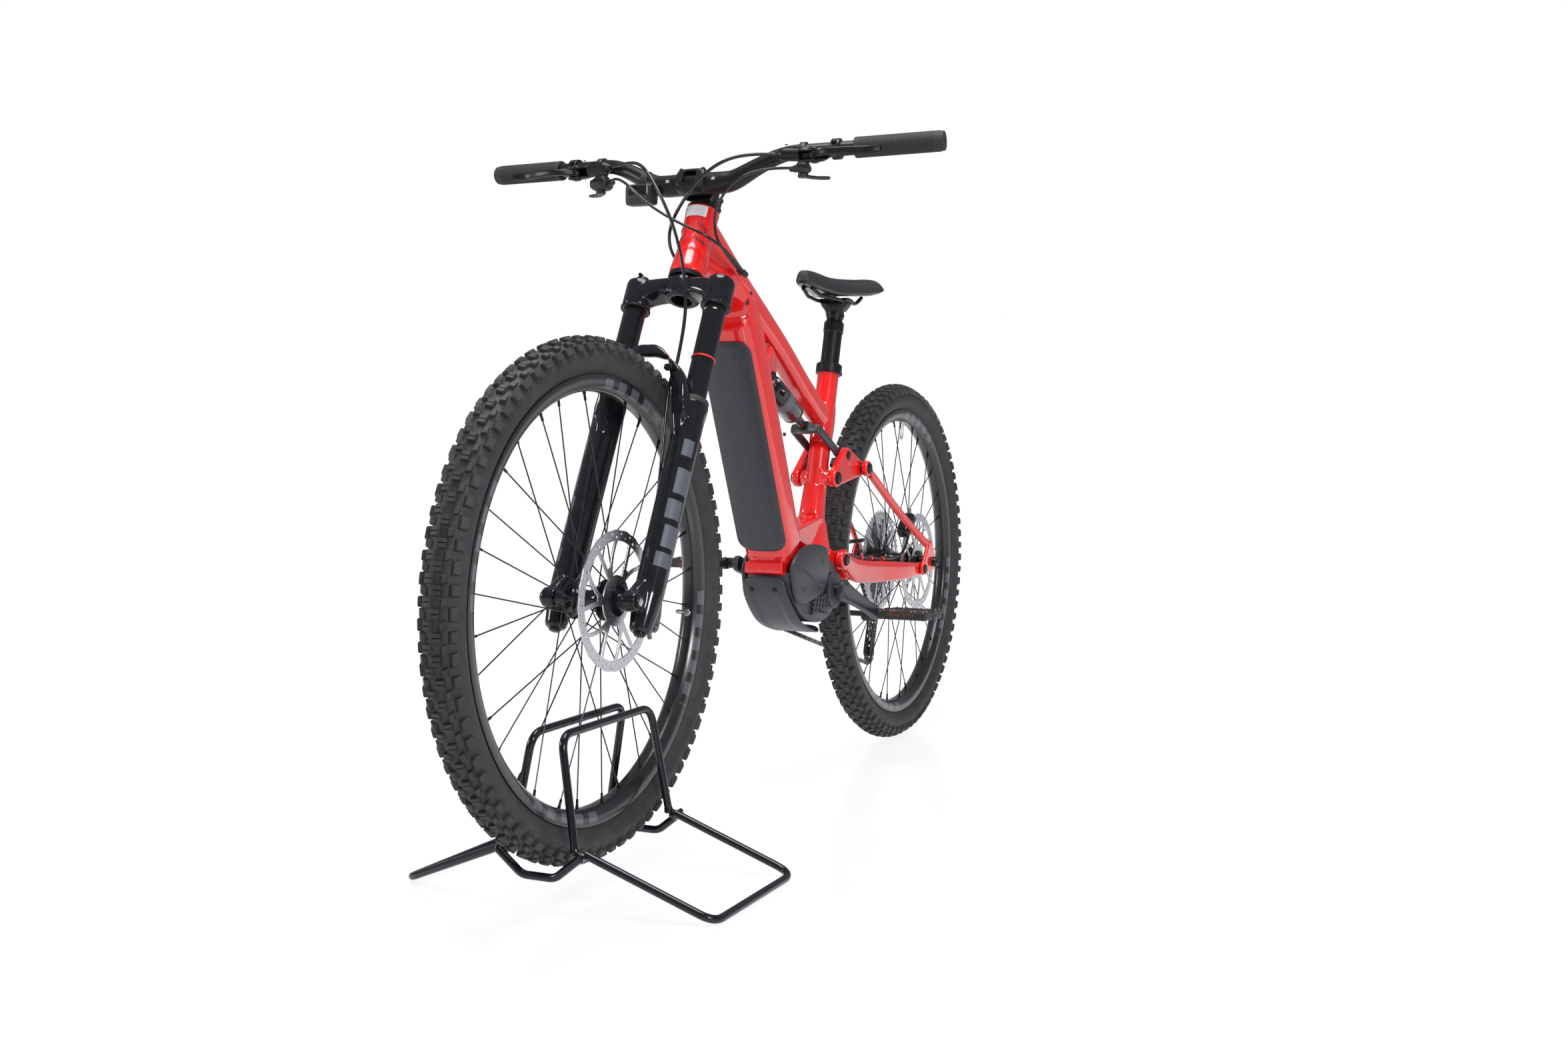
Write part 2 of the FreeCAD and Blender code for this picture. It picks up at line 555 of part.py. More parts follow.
cage = fuse([strap(cage_discs, -62.5, -60.5), strap(cage_discs[1:], -49.5, -47.5),
             rod(V(CAGE_PIVOT.x, -86, CAGE_PIVOT.z), V(CAGE_PIVOT.x, -60.5, CAGE_PIVOT.z), CAGE_PIN_R),
             rod(V(GUIDE.x, -61, GUIDE.z), V(GUIDE.x, -49, GUIDE.z), PULLEY_PIN_R),
             rod(V(TENSION.x, -61, TENSION.z), V(TENSION.x, -49, TENSION.z), PULLEY_PIN_R)])
add("derailleur_cage", [cage])


def pulley(at):
    """Pulley turned to its tooth roots, with a wide hub."""
    root, bore = pitch_radius(PULLEY_TEETH) - ROOT_DEPTH, PULLEY_PIN_R + RUN
    half = [(bore, 4), (8, 4), (8, 1.2), (root, 1.2)]
    return turned(at.x, at.z, [(r, at.y + y) for r, y in half] + [(r, at.y - y) for r, y in half[::-1]])


add("guide_pulley", [pulley(GUIDE)])
add("tension_pulley", [pulley(TENSION)])


# ---------------------------------------------------------------- wheels
def tyre(at):
    centre = WHEEL_R - TYRE_HALF - 1
    outer, inner = TYRE_HALF, TYRE_HALF - 3.5
    crown_r = TYRE_HALF + 1

    def on(radius, degrees):
        return V(centre + radius * math.cos(math.radians(degrees)),
                 radius * math.sin(math.radians(degrees)), 0)

    left_out, left_in = on(outer, 137), on(inner, 150)
    right_out, right_in = on(outer, -137), on(inner, -150)
    top = V(centre + crown_r, 0, 0)
    bead = [V(318.3, 14.6, 0), V(311.6, 14.6, 0), V(311.6, 11, 0)]
    mirror = [V(p.x, -p.y, 0) for p in bead]
    edges = [Part.Arc(right_out, top, left_out).toShape()]
    chain = [left_out] + bead + [left_in]
    edges += [Part.LineSegment(a, b).toShape() for a, b in zip(chain, chain[1:])]
    edges.append(Part.Arc(left_in, V(centre + inner, 0, 0), right_in).toShape())
    chain = [right_in] + mirror[::-1] + [right_out]
    edges += [Part.LineSegment(a, b).toShape() for a, b in zip(chain, chain[1:])]
    solid = Part.Face(Part.Wire(edges)).revolve(V(0, 0, 0), Y, 360)
    solid.translate(at)
    return solid


def rim(at):
    half = [(311, 2), (311, 15), (RIM_R, 15), (RIM_R, RIM_HALF), (300, 15), (294, 8)]
    hollow = [(296.5, 6.9), (300.7, 12.3), (308.5, 13), (308.5, 2)]
    outline = half + [(r, -y) for r, y in half[::-1]] + [(r, -y) for r, y in hollow[::-1]] + hollow
    return turned(at.x, at.z, outline)


def spokes(at, left_y, right_y, flange_r):
    """Laced three-cross in pairs, each with its nipple at the rim."""
    out = []
    for n in range(SPOKES):
        side = 1 if n % 2 else -1
        lace = 1 if (n // 2) % 2 else -1
        rim_a = 2 * math.pi * (n + 0.5) / SPOKES
        hub_a = rim_a + lace * math.radians(52)
        y = left_y if side > 0 else right_y
        start = V(flange_r * math.cos(hub_a), y + side * lace * 1.2, flange_r * math.sin(hub_a))
        end = V(293.8 * math.cos(rim_a), side * 3.0, 293.8 * math.sin(rim_a))
        nipple = start + (end - start) * 0.955
        for piece in (rod(start, nipple, 1.0), rod(nipple, end, 2.0)):
            piece.translate(at)
            out.append(piece)
    return out


def front_hub():
    half = FRONT_HUB_HALF
    bore = FRONT_AXLE_R + RUN
    right = [(bore, -half), (11, -half), (11, -34), (15, -31), (29, -29), (29, -26), (15, -22)]
    left = [(15, 18), (29, 22), (29, 25), (ROTOR_SEAT_R, 27), (ROTOR_SEAT_R, 38.9), (11, 42),
            (11, half), (bore, half)]
    return turned(FRONT.x, FRONT.z, right + left)


def rear_hub():
    half = REAR_HUB_HALF
    bore = REAR_AXLE_R + RUN
    right = [(bore, -28.5), (17, -28.5), (20, -26), (29, -23), (29, -20), (17, -16)]
    left = [(17, 28), (29, 32), (29, 35), (ROTOR_SEAT_R, 37), (ROTOR_SEAT_R, 48.9), (11, 52),
            (11, half), (bore, half)]
    return turned(REAR.x, REAR.z, right + left)


def rotor(at, y, bore):
    ring = pipe(V(0, y - 1, 0), V(0, y + 1, 0), ROTOR_R, ROTOR_R - 16)
    core = pipe(V(0, y - 1, 0), V(0, y + 1, 0), 31, bore)
    rim = ROTOR_R - 14
    arms = []
    for n in range(6):
        a = math.radians(60 * n)
        b = a + math.radians(24)
        corners = [(30, a - 0.1), (rim, b - 0.05), (rim, b + 0.05), (30, a + 0.1)]
        outline = [(r * math.cos(t), r * math.sin(t)) for r, t in corners]
        arms.append(face_xz(outline, y - 1).extrude(V(0, 2, 0)))
    solid = fuse([ring, core] + arms)
    solid.translate(V(at.x, 0, at.z))
    return solid


def wheel(name, at, hub, left_y, right_y, rotor_y):
    add(name + "_tyre", [tyre(at)])
    add(name + "_rim", [rim(at)])
    add(name + "_spokes", spokes(at, left_y, right_y, 30.2))
    add(name + "_hub", [hub])
    add(name + "_rotor", [rotor(at, rotor_y, ROTOR_SEAT_R + RUN)])


wheel("front", FRONT, front_hub(), 23.5, -27.5, FRONT_ROTOR_Y)
wheel("rear", REAR, rear_hub(), 33.5, -21.5, REAR_ROTOR_Y)


def cassette():
    """Twelve cogs on the freehub body, big cog inboard; each is turned to its tooth roots."""
    bore = REAR_AXLE_R + RUN
    outline = [(bore, -29.2), (22, -29.2), (22, COG_FIRST_Y + 0.9)]
    for n, teeth in enumerate(COGS):
        r = pitch_radius(teeth) - ROOT_DEPTH
        y = COG_FIRST_Y - n * COG_STEP
        smaller = pitch_radius(COGS[n + 1]) if n + 1 < len(COGS) else 0
        below = min(max(17.5, smaller - 12), r - 1)
        outline += [(r, y + 0.9), (r, y - 0.9), (below, y - 0.9), (below, y - COG_STEP + 0.9)]
    end_y = outline[-2][1]
    outline = outline[:-2] + [(12, end_y), (12, end_y - 0.3), (bore, end_y - 0.3)]
    return turned(REAR.x, REAR.z, outline)


add("cassette", [cassette()])

# ---------------------------------------------------------------- drive
CRANK_IN, CRANK_OUT = 62.0, 76.0


def crank_arm(side):
    heading = LEFT_CRANK * side
    tip = BB + heading * CRANK_LENGTH
    low, high = sorted((side * CRANK_IN, side * CRANK_OUT))
    arm = strap([(BB.x, BB.z, 21), (BB.x + heading.x * 70, BB.z + heading.z * 70, 15),
                 (tip.x, tip.z, 14.5)], low, high)
    axle = rod(V(tip.x, side * CRANK_IN, tip.z), V(tip.x, side * 184, tip.z), 5)
    collar = rod(V(tip.x, side * CRANK_OUT, tip.z), V(tip.x, side * 88, tip.z), 8)
    return fuse([arm, axle, collar]), tip


left_arm, LEFT_PEDAL = crank_arm(1)
right_arm, RIGHT_PEDAL = crank_arm(-1)
add("crank_left", [left_arm.cut(rod(BB + Y * 60, BB + Y * 73, SPINDLE_R))])
add("crank_right", [fuse([right_arm, rod(BB - Y * 70, BB + Y * 73, SPINDLE_R)])])

RING_R = pitch_radius(CHAINRING_TEETH) - ROOT_DEPTH
RING_IN, RING_OUT = 1.3 - CHAIN_LINE, -1.3 - CHAIN_LINE


def ring_arm(n):
    a = 2 * math.pi * n / 5 + 0.3
    inner = BB + V(math.cos(a), 0, math.sin(a)) * 20
    outer = BB + V(math.cos(a), 0, math.sin(a)) * (RING_R - 8)
    return strap([(inner.x, inner.z, 9), (outer.x, outer.z, 6)], RING_OUT, RING_IN)


spider = fuse([pipe(BB + Y * RING_OUT, BB + Y * RING_IN, RING_R, RING_R - 13)] +
              [ring_arm(n) for n in range(5)] +
              [pipe(BB - Y * (CRANK_IN - 0.05), BB + Y * RING_IN, 30, SPINDLE_R + 0.02)])
add("chainring", [spider.cut(rod(BB - Y * 90, BB + Y * 90, SPINDLE_R + 0.02))])


def pedal(side, tip):
    """Platform pedal on its spindle, with reflectors let into both long edges."""
    x, z = tip.x, tip.z
    low, high = sorted((side * 90, side * 190))
    body = plate([(x - 50, z - 6), (x - 46, z - 9), (x + 46, z - 9), (x + 50, z - 6),
                  (x + 50, z + 6), (x + 46, z + 9), (x - 46, z + 9), (x - 50, z + 6)], low, high)
    for lo, hi in ((-42, -15), (15, 42)):
        for inner, outer in ((98, 132), (142, 182)):
            a, b = sorted((side * inner, side * outer))
            body = body.cut(block(x + lo, x + hi, a, b, z - 12, z + 12))
    barrel = rod(V(x, side * 90, z), V(x, side * 188, z), 10)
    return fuse([body, barrel]).cut(rod(V(x, side * 80, z), V(x, side * 185, z), 5 + RUN))


add("pedal_left", [pedal(1, LEFT_PEDAL)])
add("pedal_right", [pedal(-1, RIGHT_PEDAL)])


def chain():
    """A closed band round the chainring, one cog and the two pulleys."""
    ring_r = pitch_radius(CHAINRING_TEETH)
    cog_r = pitch_radius(COG_TEETH)
    jockey_r = pitch_radius(PULLEY_TEETH)
    # circles with the sense in which the chain goes round them, +1 clockwise seen from +Y
    stops = [(BB, ring_r, 1), (TENSION, jockey_r, 1), (GUIDE, jockey_r, -1), (REAR, cog_r, 1)]
    runs = []
    for (ca, ra, sa), (cb, rb, sb) in zip(stops, stops[1:] + stops[:1]):
        d = V(cb.x - ca.x, 0, cb.z - ca.z)
        reach = d.Length
        heading = math.atan2(d.z, d.x)
        lean = math.acos((sa * ra - sb * rb) / reach)
        a = heading + lean
        runs.append((V(ca.x + sa * ra * math.cos(a), 0, ca.z + sa * ra * math.sin(a)),
                     V(cb.x + sb * rb * math.cos(a), 0, cb.z + sb * rb * math.sin(a))))
    return runs, stops


def chain_solid():
    runs, stops = chain()
    edges = []
    for n, (start, end) in enumerate(runs):
        edges.append(Part.LineSegment(start, end).toShape())
        circle, radius, sense = stops[(n + 1) % len(stops)]
        nxt = runs[(n + 1) % len(runs)][0]
        a0 = math.atan2(end.z - circle.z, end.x - circle.x)
        a1 = math.atan2(nxt.z - circle.z, nxt.x - circle.x)
        sweep = (a1 - a0) % (2 * math.pi) if sense < 0 else -((a0 - a1) % (2 * math.pi))
        mid = a0 + sweep / 2
        crest = V(circle.x + radius * math.cos(mid), 0, circle.z + radius * math.sin(mid))
        edges.append(Part.Arc(end, crest, nxt).toShape())
    loop = Part.Wire(edges)
    thick = loop.makeOffset2D(CHAIN_DEPTH / 2)
    thin = loop.makeOffset2D(-CHAIN_DEPTH / 2)
    big, small = (thick, thin) if thick.Length > thin.Length else (thin, thick)
    across = V(0, CHAIN_WIDTH, 0)
    band = Part.Face(big).extrude(across).cut(Part.Face(small).extrude(across))
    band.translate(V(0, -CHAIN_LINE - CHAIN_WIDTH / 2, 0))
    return band


add("chain", [chain_solid()])

# ---------------------------------------------------------------- seat
post_top = SEAT + POST_UP * 100
CLAMP = SEAT + POST_UP * 116
inner_post = fuse([rod(SEAT - POST_UP * 150, post_top, POST_R),
                   rod(post_top - POST_UP * 4, post_top + POST_UP * 6, POST_R + 2),
                   loft([(post_top + POST_UP * 4, Y, POST_BACK, 34, 34),
                         (CLAMP, Y, V(1, 0, 0), 36, 44)])])
rails_z = CLAMP.z + 12
clamp_top = fuse([block(CLAMP.x - 21, CLAMP.x + 21, -28, 28, CLAMP.z - 4, CLAMP.z + 17)])
rail_bore = fuse([rod(V(CLAMP.x - 60, side * 22, rails_z), V(CLAMP.x + 60, side * 22, rails_z), 3.5)
                  for side in SIDES])
add("dropper_inner", [fuse([inner_post, clamp_top]).cut(rail_bore)])
SADDLE_NOSE = -106.0
SADDLE_TAIL = SADDLE_NOSE - SADDLE_LENGTH


def rail(side):
    z = rails_z
    points = [(SADDLE_NOSE - 28, side * 9, z + 12), (SADDLE_NOSE - 60, side * 13, z + 1),
              (CLAMP.x + 46, side * 22, z),
              (CLAMP.x - 46, side * 22, z), (SADDLE_TAIL + 30, side * 27, z + 14)]
    return bent(points, 3.5, 30)


rails = both(rail)
add("saddle_rails", rails)


def saddle():
    """Firm cushion on its shell: narrow nose, broad tail, a little dished."""
    stations = [(-4, 30, 20, 0), (-30, 38, 30, 1), (-80, 50, 34, 0), (-140, 84, 36, 0),
                (-190, 124, 38, 3), (-232, 2 * SADDLE_HALF - 2, 34, 8), (-SADDLE_LENGTH + 2, 118, 20, 12)]
    top = rails_z + 43
    body = loft([(V(SADDLE_NOSE + dx, 0, top + lift - h / 2), Y, V(0, 0, 1), w, h)
                 for dx, w, h, lift in stations])
    room = []
    for side in SIDES:
        room.append(rod(V(SADDLE_NOSE - 16, side * 7, rails_z + 15),
                        V(SADDLE_NOSE - 60, side * 13, rails_z + 1), 4))
        room.append(rod(V(CLAMP.x - 30, side * 22, rails_z),
                        V(SADDLE_TAIL + 22, side * 28, rails_z + 18), 4.2))
    clamp_room = block(SADDLE_TAIL - 40, SADDLE_NOSE - 62, -40, 40, rails_z - 20, rails_z + 19)
    return body.cut(fuse(room)).cut(rails[0]).cut(rails[1]).cut(clamp_room)


add("saddle", [saddle()])

# ---------------------------------------------------------------- fork and steering
CROWN_TOP, CROWN_LOW = -9.0, -62.0
SEAL = -232.0
STANCHION_END = -376.0
AXLE_UP = -557.1
LEG_LOW = -536.0         # where the leg starts to taper to its foot
LEG_R = STANCHION_R + LEG_WALL


def crown():
    """One casting: a hollow steerer boss with two arms that drop to the stanchion sockets."""
    boss = rod(fork(0, 0, -40), fork(0, 0, CROWN_TOP), 27)
    shapes = [boss]
    for side in SIDES:
        stations = [(fork(0, side * 6, -24), AHEAD, STEER, 48, 28),
                    (fork(6, side * 34, -26), AHEAD, STEER, 44, 26),
                    (leg_at(side, -37), AHEAD, STEER, 38, 40)]
        shapes.append(loft(stations))
        shapes.append(rod(leg_at(side, CROWN_LOW), leg_at(side, -16), LEG_R))
    body = fuse(shapes)
    body = body.cut(rod(fork(0, 0, -80), fork(0, 0, 20), STEERER_R))
    for side in SIDES:
        body = body.cut(rod(leg_at(side, -90), leg_at(side, -24), STANCHION_R))
    steerer = pipe(fork(0, 0, -38), fork(0, 0, STEM_HEIGHT + 17), STEERER_R, STEERER_R - 2)
    stanchions = [pipe(leg_at(side, STANCHION_END), leg_at(side, -24), STANCHION_R, STANCHION_R - 2)
                  for side in SIDES]
    return [body, steerer] + stanchions


add("fork_uppers", crown())
stem_low, stem_high = STEM_HEIGHT - 16, STEM_HEIGHT + 18
BAR = fork(STEM_REACH, 0, STEM_HEIGHT)
stem = fuse([rod(fork(0, 0, stem_low), fork(0, 0, stem_high), 19),
             loft([(fork(6, 0, STEM_HEIGHT), Y, STEER, 36, 32),
                   (fork(STEM_REACH - 17, 0, STEM_HEIGHT), Y, STEER, 54, 36)])])
bar_bore = rod(BAR - Y * 60, BAR + Y * 60, BAR_CLAMP_R)
stem = stem.cut(rod(fork(0, 0, stem_low - 5), fork(0, 0, stem_high + 5), STEERER_R)).cut(bar_bore)
faceplate = loft([(fork(STEM_REACH + 1, 0, STEM_HEIGHT), Y, STEER, 54, 42),
                  (fork(STEM_REACH + 21, 0, STEM_HEIGHT), Y, STEER, 50, 34)])
faceplate = faceplate.cut(bar_bore)
cap = fuse([rod(fork(0, 0, stem_high), fork(0, 0, stem_high + 5), 17.5),
            rod(fork(0, 0, stem_high + 4), fork(0, 0, stem_high + 7), 4)])
spacer = pipe(fork(0, 0, HEAD_LENGTH + 4 + GAP), fork(0, 0, stem_low), 18.5, STEERER_R)
add("stem", [stem, faceplate, cap, spacer])
bar_half = BAR_WIDTH / 2
GRIP_IN = V(BAR.x - 14, 158, BAR.z + BAR_RISE - 4)
BAR_END = V(BAR.x - 42, bar_half, BAR.z + BAR_RISE + 2)
GRIP_ALONG = unit(BAR_END - GRIP_IN)


def mirror_y(shape):
    return shape.mirror(V(0, 0, 0), Y)


bar_half_points = [(BAR.x, 58, BAR.z), (GRIP_IN.x, GRIP_IN.y, GRIP_IN.z),
                   (BAR_END.x, BAR_END.y, BAR_END.z)]
bar_points = [(x, -y, z) for x, y, z in bar_half_points[::-1]] + bar_half_points
bar_tube = bent(bar_points, BAR_R, 60)
bulges = [rod(BAR + Y * side * STEM_HALF, BAR + Y * side * BULGE_END, BAR_BULGE_R) for side in SIDES]
add("handlebar", [fuse([bar_tube, rod(BAR - Y * STEM_HALF, BAR + Y * STEM_HALF, BAR_CLAMP_R)] + bulges)])
grip_start = BAR_END - GRIP_ALONG * (GRIP_LENGTH + 2)
grip = fuse([rod(grip_start, BAR_END - GRIP_ALONG * 2, GRIP_R),
             rod(BAR_END - GRIP_ALONG * 2, BAR_END + GRIP_ALONG * 4, GRIP_R - 1)])
grip = grip.cut(rod(BAR_END - GRIP_ALONG * 200, BAR_END, BAR_R))
add("handlebar_grips", [grip, mirror_y(grip)])


def on_bar(y):
    """The point on the bar's sloping end at a given side distance."""
    return GRIP_IN + GRIP_ALONG * ((y - GRIP_IN.y) / GRIP_ALONG.y)


LEVER_PIVOT = V(on_bar(214).x + 34, 210, on_bar(214).z - 14)


def brake_body():
    """Bar clamp with the master cylinder lying along the bar and two ears for the blade."""
    seat = on_bar(232)
    clamp = rod(seat - GRIP_ALONG * 7, seat + GRIP_ALONG * 7, 16)
    arm = loft([(seat + V(8, 0, -4), V(0.2, 1, 0), V(0, 0, 1), 14, 18),
                (V(LEVER_PIVOT.x + 2, 222, LEVER_PIVOT.z), V(0, 1, 0), V(0, 0, 1), 16, 20)])
    barrel = rod(V(LEVER_PIVOT.x - 2, 146, LEVER_PIVOT.z + 6),
                 V(LEVER_PIVOT.x - 4, 226, LEVER_PIVOT.z + 1), 10.5)
    ears = [rod(LEVER_PIVOT + V(0, 0, s * 6.5), LEVER_PIVOT + V(0, 0, s * 11), 8) for s in SIDES]
    tongue = block(LEVER_PIVOT.x - 14, LEVER_PIVOT.x - 2, 200, 226, LEVER_PIVOT.z - 11,
                   LEVER_PIVOT.z + 11)
    body = fuse([clamp, arm, barrel, tongue] + ears)
    room = rod(LEVER_PIVOT - V(0, 0, 6.2), LEVER_PIVOT + V(0, 0, 6.2), 13)
    sweep = block(LEVER_PIVOT.x - 9, LEVER_PIVOT.x + 40, 204, 260, LEVER_PIVOT.z - 6.2,
                  LEVER_PIVOT.z + 6.2)
    body = body.cut(room).cut(sweep).cut(rod(seat - GRIP_ALONG * 30, seat + GRIP_ALONG * 30, BAR_R))
    pin = rod(LEVER_PIVOT - V(0, 0, 12), LEVER_PIVOT + V(0, 0, 12), 3)
    return fuse([body, pin])


left_body = brake_body()
add("brake_bodies", [left_body, mirror_y(left_body)])


def brake_blade():
    eye = rod(LEVER_PIVOT - V(0, 0, 5.5), LEVER_PIVOT + V(0, 0, 5.5), 7.5)
    blade = bent([(LEVER_PIVOT.x + 3, 214, LEVER_PIVOT.z), (LEVER_PIVOT.x + 22, 236, LEVER_PIVOT.z),
                  (LEVER_PIVOT.x + 20, 268, LEVER_PIVOT.z), (LEVER_PIVOT.x + 8, 300, LEVER_PIVOT.z),
                  (LEVER_PIVOT.x + 14, 322, LEVER_PIVOT.z)], 5, 20)
    return fuse([eye, blade]).cut(rod(LEVER_PIVOT - V(0, 0, 20), LEVER_PIVOT + V(0, 0, 20), 3 + RUN))


left_blade = brake_blade()
add("brake_lever_left", [left_blade])
add("brake_lever_right", [mirror_y(left_blade)])


def remote(y, outer, depth, drop):
    """A control pod clamped to the bar and hanging under it."""
    seat = on_bar(y)
    clamp = pipe(seat - GRIP_ALONG * 5, seat + GRIP_ALONG * 5, 14.5, BAR_R)
    pod = block(seat.x - 12, seat.x + depth, y - outer / 2, y + outer / 2, seat.z - drop, seat.z - 20)
    neck = block(seat.x - 6, seat.x + 6, y - 6, y + 6, seat.z - 22, seat.z - 12.6)
    bar_room = rod(seat - GRIP_ALONG * 30, seat + GRIP_ALONG * 30, BAR_R)
    return fuse([clamp, pod.makeFillet(4, pod.Edges), neck]).cut(bar_room), seat


shifter, SHIFT_SEAT = remote(178, 34, 20, 38)
dropper_pod, DROP_SEAT = remote(180, 22, 16, 34)
add("control_pods", [mirror_y(shifter), dropper_pod])
SHIFT_PIVOT = V(SHIFT_SEAT.x + 6, -SHIFT_SEAT.y, SHIFT_SEAT.z - 38)
DROP_PIVOT = V(DROP_SEAT.x + 4, DROP_SEAT.y, DROP_SEAT.z - 34)


def flat_paddle(pivot, side, reach, back):
    tip = pivot + V(-back, side * reach, -3.4)
    mid = pivot + V(-back * 0.75, side * reach * 0.45, -3.4)
    base = pivot + V(0, 0, -3.4)
    discs = [rod(p - V(0, 0, 3), p + V(0, 0, 3), r) for p, r in ((base, 8), (mid, 7), (tip, 9))]
    webs = []
    for a, b, w in ((base, mid, 12), (mid, tip, 12)):
        d = b - a
        webs.append(loft([(a, V(-d.y, d.x, 0), V(0, 0, 1), w, 6), (b, V(-d.y, d.x, 0), V(0, 0, 1), w, 6)],
                         0.1))
    return fuse(discs + webs)


add("shift_paddle", [flat_paddle(SHIFT_PIVOT, -1, 30, 26)])
add("dropper_paddle", [flat_paddle(DROP_PIVOT, 1, 26, 30)])
display_at = V(BAR.x + 14, -84, BAR.z - 6)
display = Part.makeBox(26, 44, 34, V(display_at.x - 6, display_at.y - 22, display_at.z - 26))
display = fuse([display.makeFillet(5, display.Edges),
                rod(V(BAR.x, -80, BAR.z + 9), V(BAR.x, -92, BAR.z + 9), 17)])
bar_room = bent([(x, y, z) for x, y, z in bar_points], BAR_R + 0.05, 60)
add("display", [display.cut(bar_room)])


def lowers():
    shapes = []
    for side in SIDES:
        shapes.append(rod(leg_at(side, LEG_LOW), leg_at(side, SEAL), LEG_R))
        shapes.append(rod(leg_at(side, SEAL), leg_at(side, SEAL + 10), LEG_R + 1.5))
        shapes.append(cone(leg_at(side, -590), leg_at(side, LEG_LOW), 16, LEG_R))
        boss_a, boss_b = FRONT + Y * side * (FRONT_HUB_HALF + 0.3), FRONT + Y * side * 77
        shapes.append(rod(boss_a, boss_b, 15))
        shapes.append(loft([(fork(LEG_LEAD + 4, side * 66, -545), Y, STEER, 22, 60),
                            (fork(FORK_OFFSET - 4, side * 66, AXLE_UP), Y, STEER, 21, 28)]))
        arch_low = fork(LEG_LEAD + 12, side * 66, -256)
        shapes.append(loft([(arch_low, Y, AHEAD, 26, 34), (fork(49, side * 60, -206), Y, AHEAD, 24, 26),
                            (fork(56, side * 38, -172), V(0, 0.8, 0) + STEER * side * -0.6, AHEAD, 18,
                             20),
                            (fork(57, 0, -164), STEER, AHEAD, 15, 18)]))
    body = fuse(shapes)
    for side in SIDES:
        body = body.cut(rod(leg_at(side, STANCHION_END - FORK_TRAVEL - 5), leg_at(side, SEAL + 11),
                            STANCHION_R + RUN))
        body = body.cut(rod(leg_at(side, SEAL + 10), leg_at(side, SEAL + 90), STANCHION_R + 2))
    return body.cut(rod(FRONT - Y * 100, FRONT + Y * 100, FRONT_AXLE_R))


add("fork_lowers", [lowers()])
add("front_axle", [fuse([rod(FRONT - Y * 79, FRONT + Y * 79, FRONT_AXLE_R),
                         rod(FRONT + Y * 77.2, FRONT + Y * 81, AXLE_HEAD_R),
                         rod(FRONT - Y * 81, FRONT - Y * 77.2, AXLE_HEAD_R)])])
front_caliper_at = FRONT + V(-93, 0, -24)
add("front_caliper", [caliper(front_caliper_at, FRONT_ROTOR_Y, -105, 17)])


# ---------------------------------------------------------------- hoses and cables, held at both ends
def route(start, steps):
    """Route points from a fitting: ahead of it, across the bicycle, and above it."""
    return [(start.x + ahead, y, start.z + up) for ahead, y, up in steps]


CYLINDER = V(LEVER_PIVOT.x - 2, 146, LEVER_PIVOT.z + 6)      # mouth of the left master cylinder
HOSE_R = 2.6
CABLE_R = 2.2
front_route = route(CYLINDER, [(0, -146, 0), (14, -104, 4), (44, -62, -10), (62, -26, -52), (66, 4, -108),
                               (72, 24, -166), (84, 38, -224), (106, 45, -278), (128, 47, -322)])
rear_route = route(CYLINDER, [(0, 146, 0), (22, 100, 2), (44, 52, -22), (42, 10, -64), (24, -26, -104),
                              (-14, -46, -134), (-62, -50, -156), (-108, -46, -178)])
drop_route = route(DROP_SEAT, [(8, 169, -26), (30, 134, -26), (58, 92, -44), (56, 56, -84),
                               (30, 42, -124),
                               (-10, 44, -152), (-56, 46, -172)])
shift_route = route(SHIFT_SEAT, [(10, -161, -28), (42, -132, -26), (68, -94, -42), (74, -56, -76),
                                 (66, -8, -106), (46, 40, -128), (2, 57, -152), (-50, 57, -176)])
add("hoses_and_cables", [bent(front_route, HOSE_R, None, "front brake hose"),
                         bent(rear_route, HOSE_R, None, "rear brake hose"),
                         bent(drop_route, CABLE_R, None, "dropper cable"),
                         bent(shift_route, CABLE_R, None, "shift cable")])

# the bicycle is complete: lift its nose into the stand
for shape in NODES.values():
    shape.Placement = TIP.multiply(shape.Placement)


# ---------------------------------------------------------------- display stand, standing on the floor
def loop(side):
    corners = [(STAND_X1, STAND_LOW_Y, STAND_LOW_Z), (STAND_TOP_X1, STAND_TOP_Y, STAND_TOP_Z),
               (STAND_TOP_X0, STAND_TOP_Y, STAND_TOP_Z), (STAND_X0, STAND_LOW_Y, STAND_LOW_Z)]
    return bent([(x, side * y, z) for x, y, z in corners], ROD_R, 26)


def base(side):
    rail_z = ROD_R
    inner_y = STAND_LOW_Y + 2.2 * ROD_R
    corners = [(STAND_X1 - 4, inner_y, STAND_LOW_Z), (RAIL_X1, RAIL_Y, rail_z),
               (RAIL_X0, RAIL_Y, rail_z), (STAND_X0 + 4, inner_y, STAND_LOW_Z)]
    return bent([(x, side * y, z) for x, y, z in corners], ROD_R, 26)


def crossbar(x, out):
    points = [(x, -STAND_LOW_Y - 14, STAND_LOW_Z - 2), (x, -26, DIP_Z), (x, 26, DIP_Z),
              (x, STAND_LOW_Y + 14, STAND_LOW_Z - 2)]
    return bent([(x + out, y, z) for x, y, z in points], ROD_R, 26)


add("stand_loops", both(loop))
add("stand_base", both(base) + [crossbar(STAND_X0, -2.05 * ROD_R), crossbar(STAND_X1, 2.05 * ROD_R)])

if __name__ == "__main__":
    for name, shape in NODES.items():
        shape.exportStep("parts/" + name + ".step")
    print(len(NODES), "nodes")
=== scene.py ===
"""Looks of the full-suspension bicycle on its wire stand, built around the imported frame."""
import bmesh
import bpy
from math import acos, asin, atan2, copysign, cos, exp, hypot, pi, radians, sin, sqrt, tan
from mathutils import Matrix, Vector


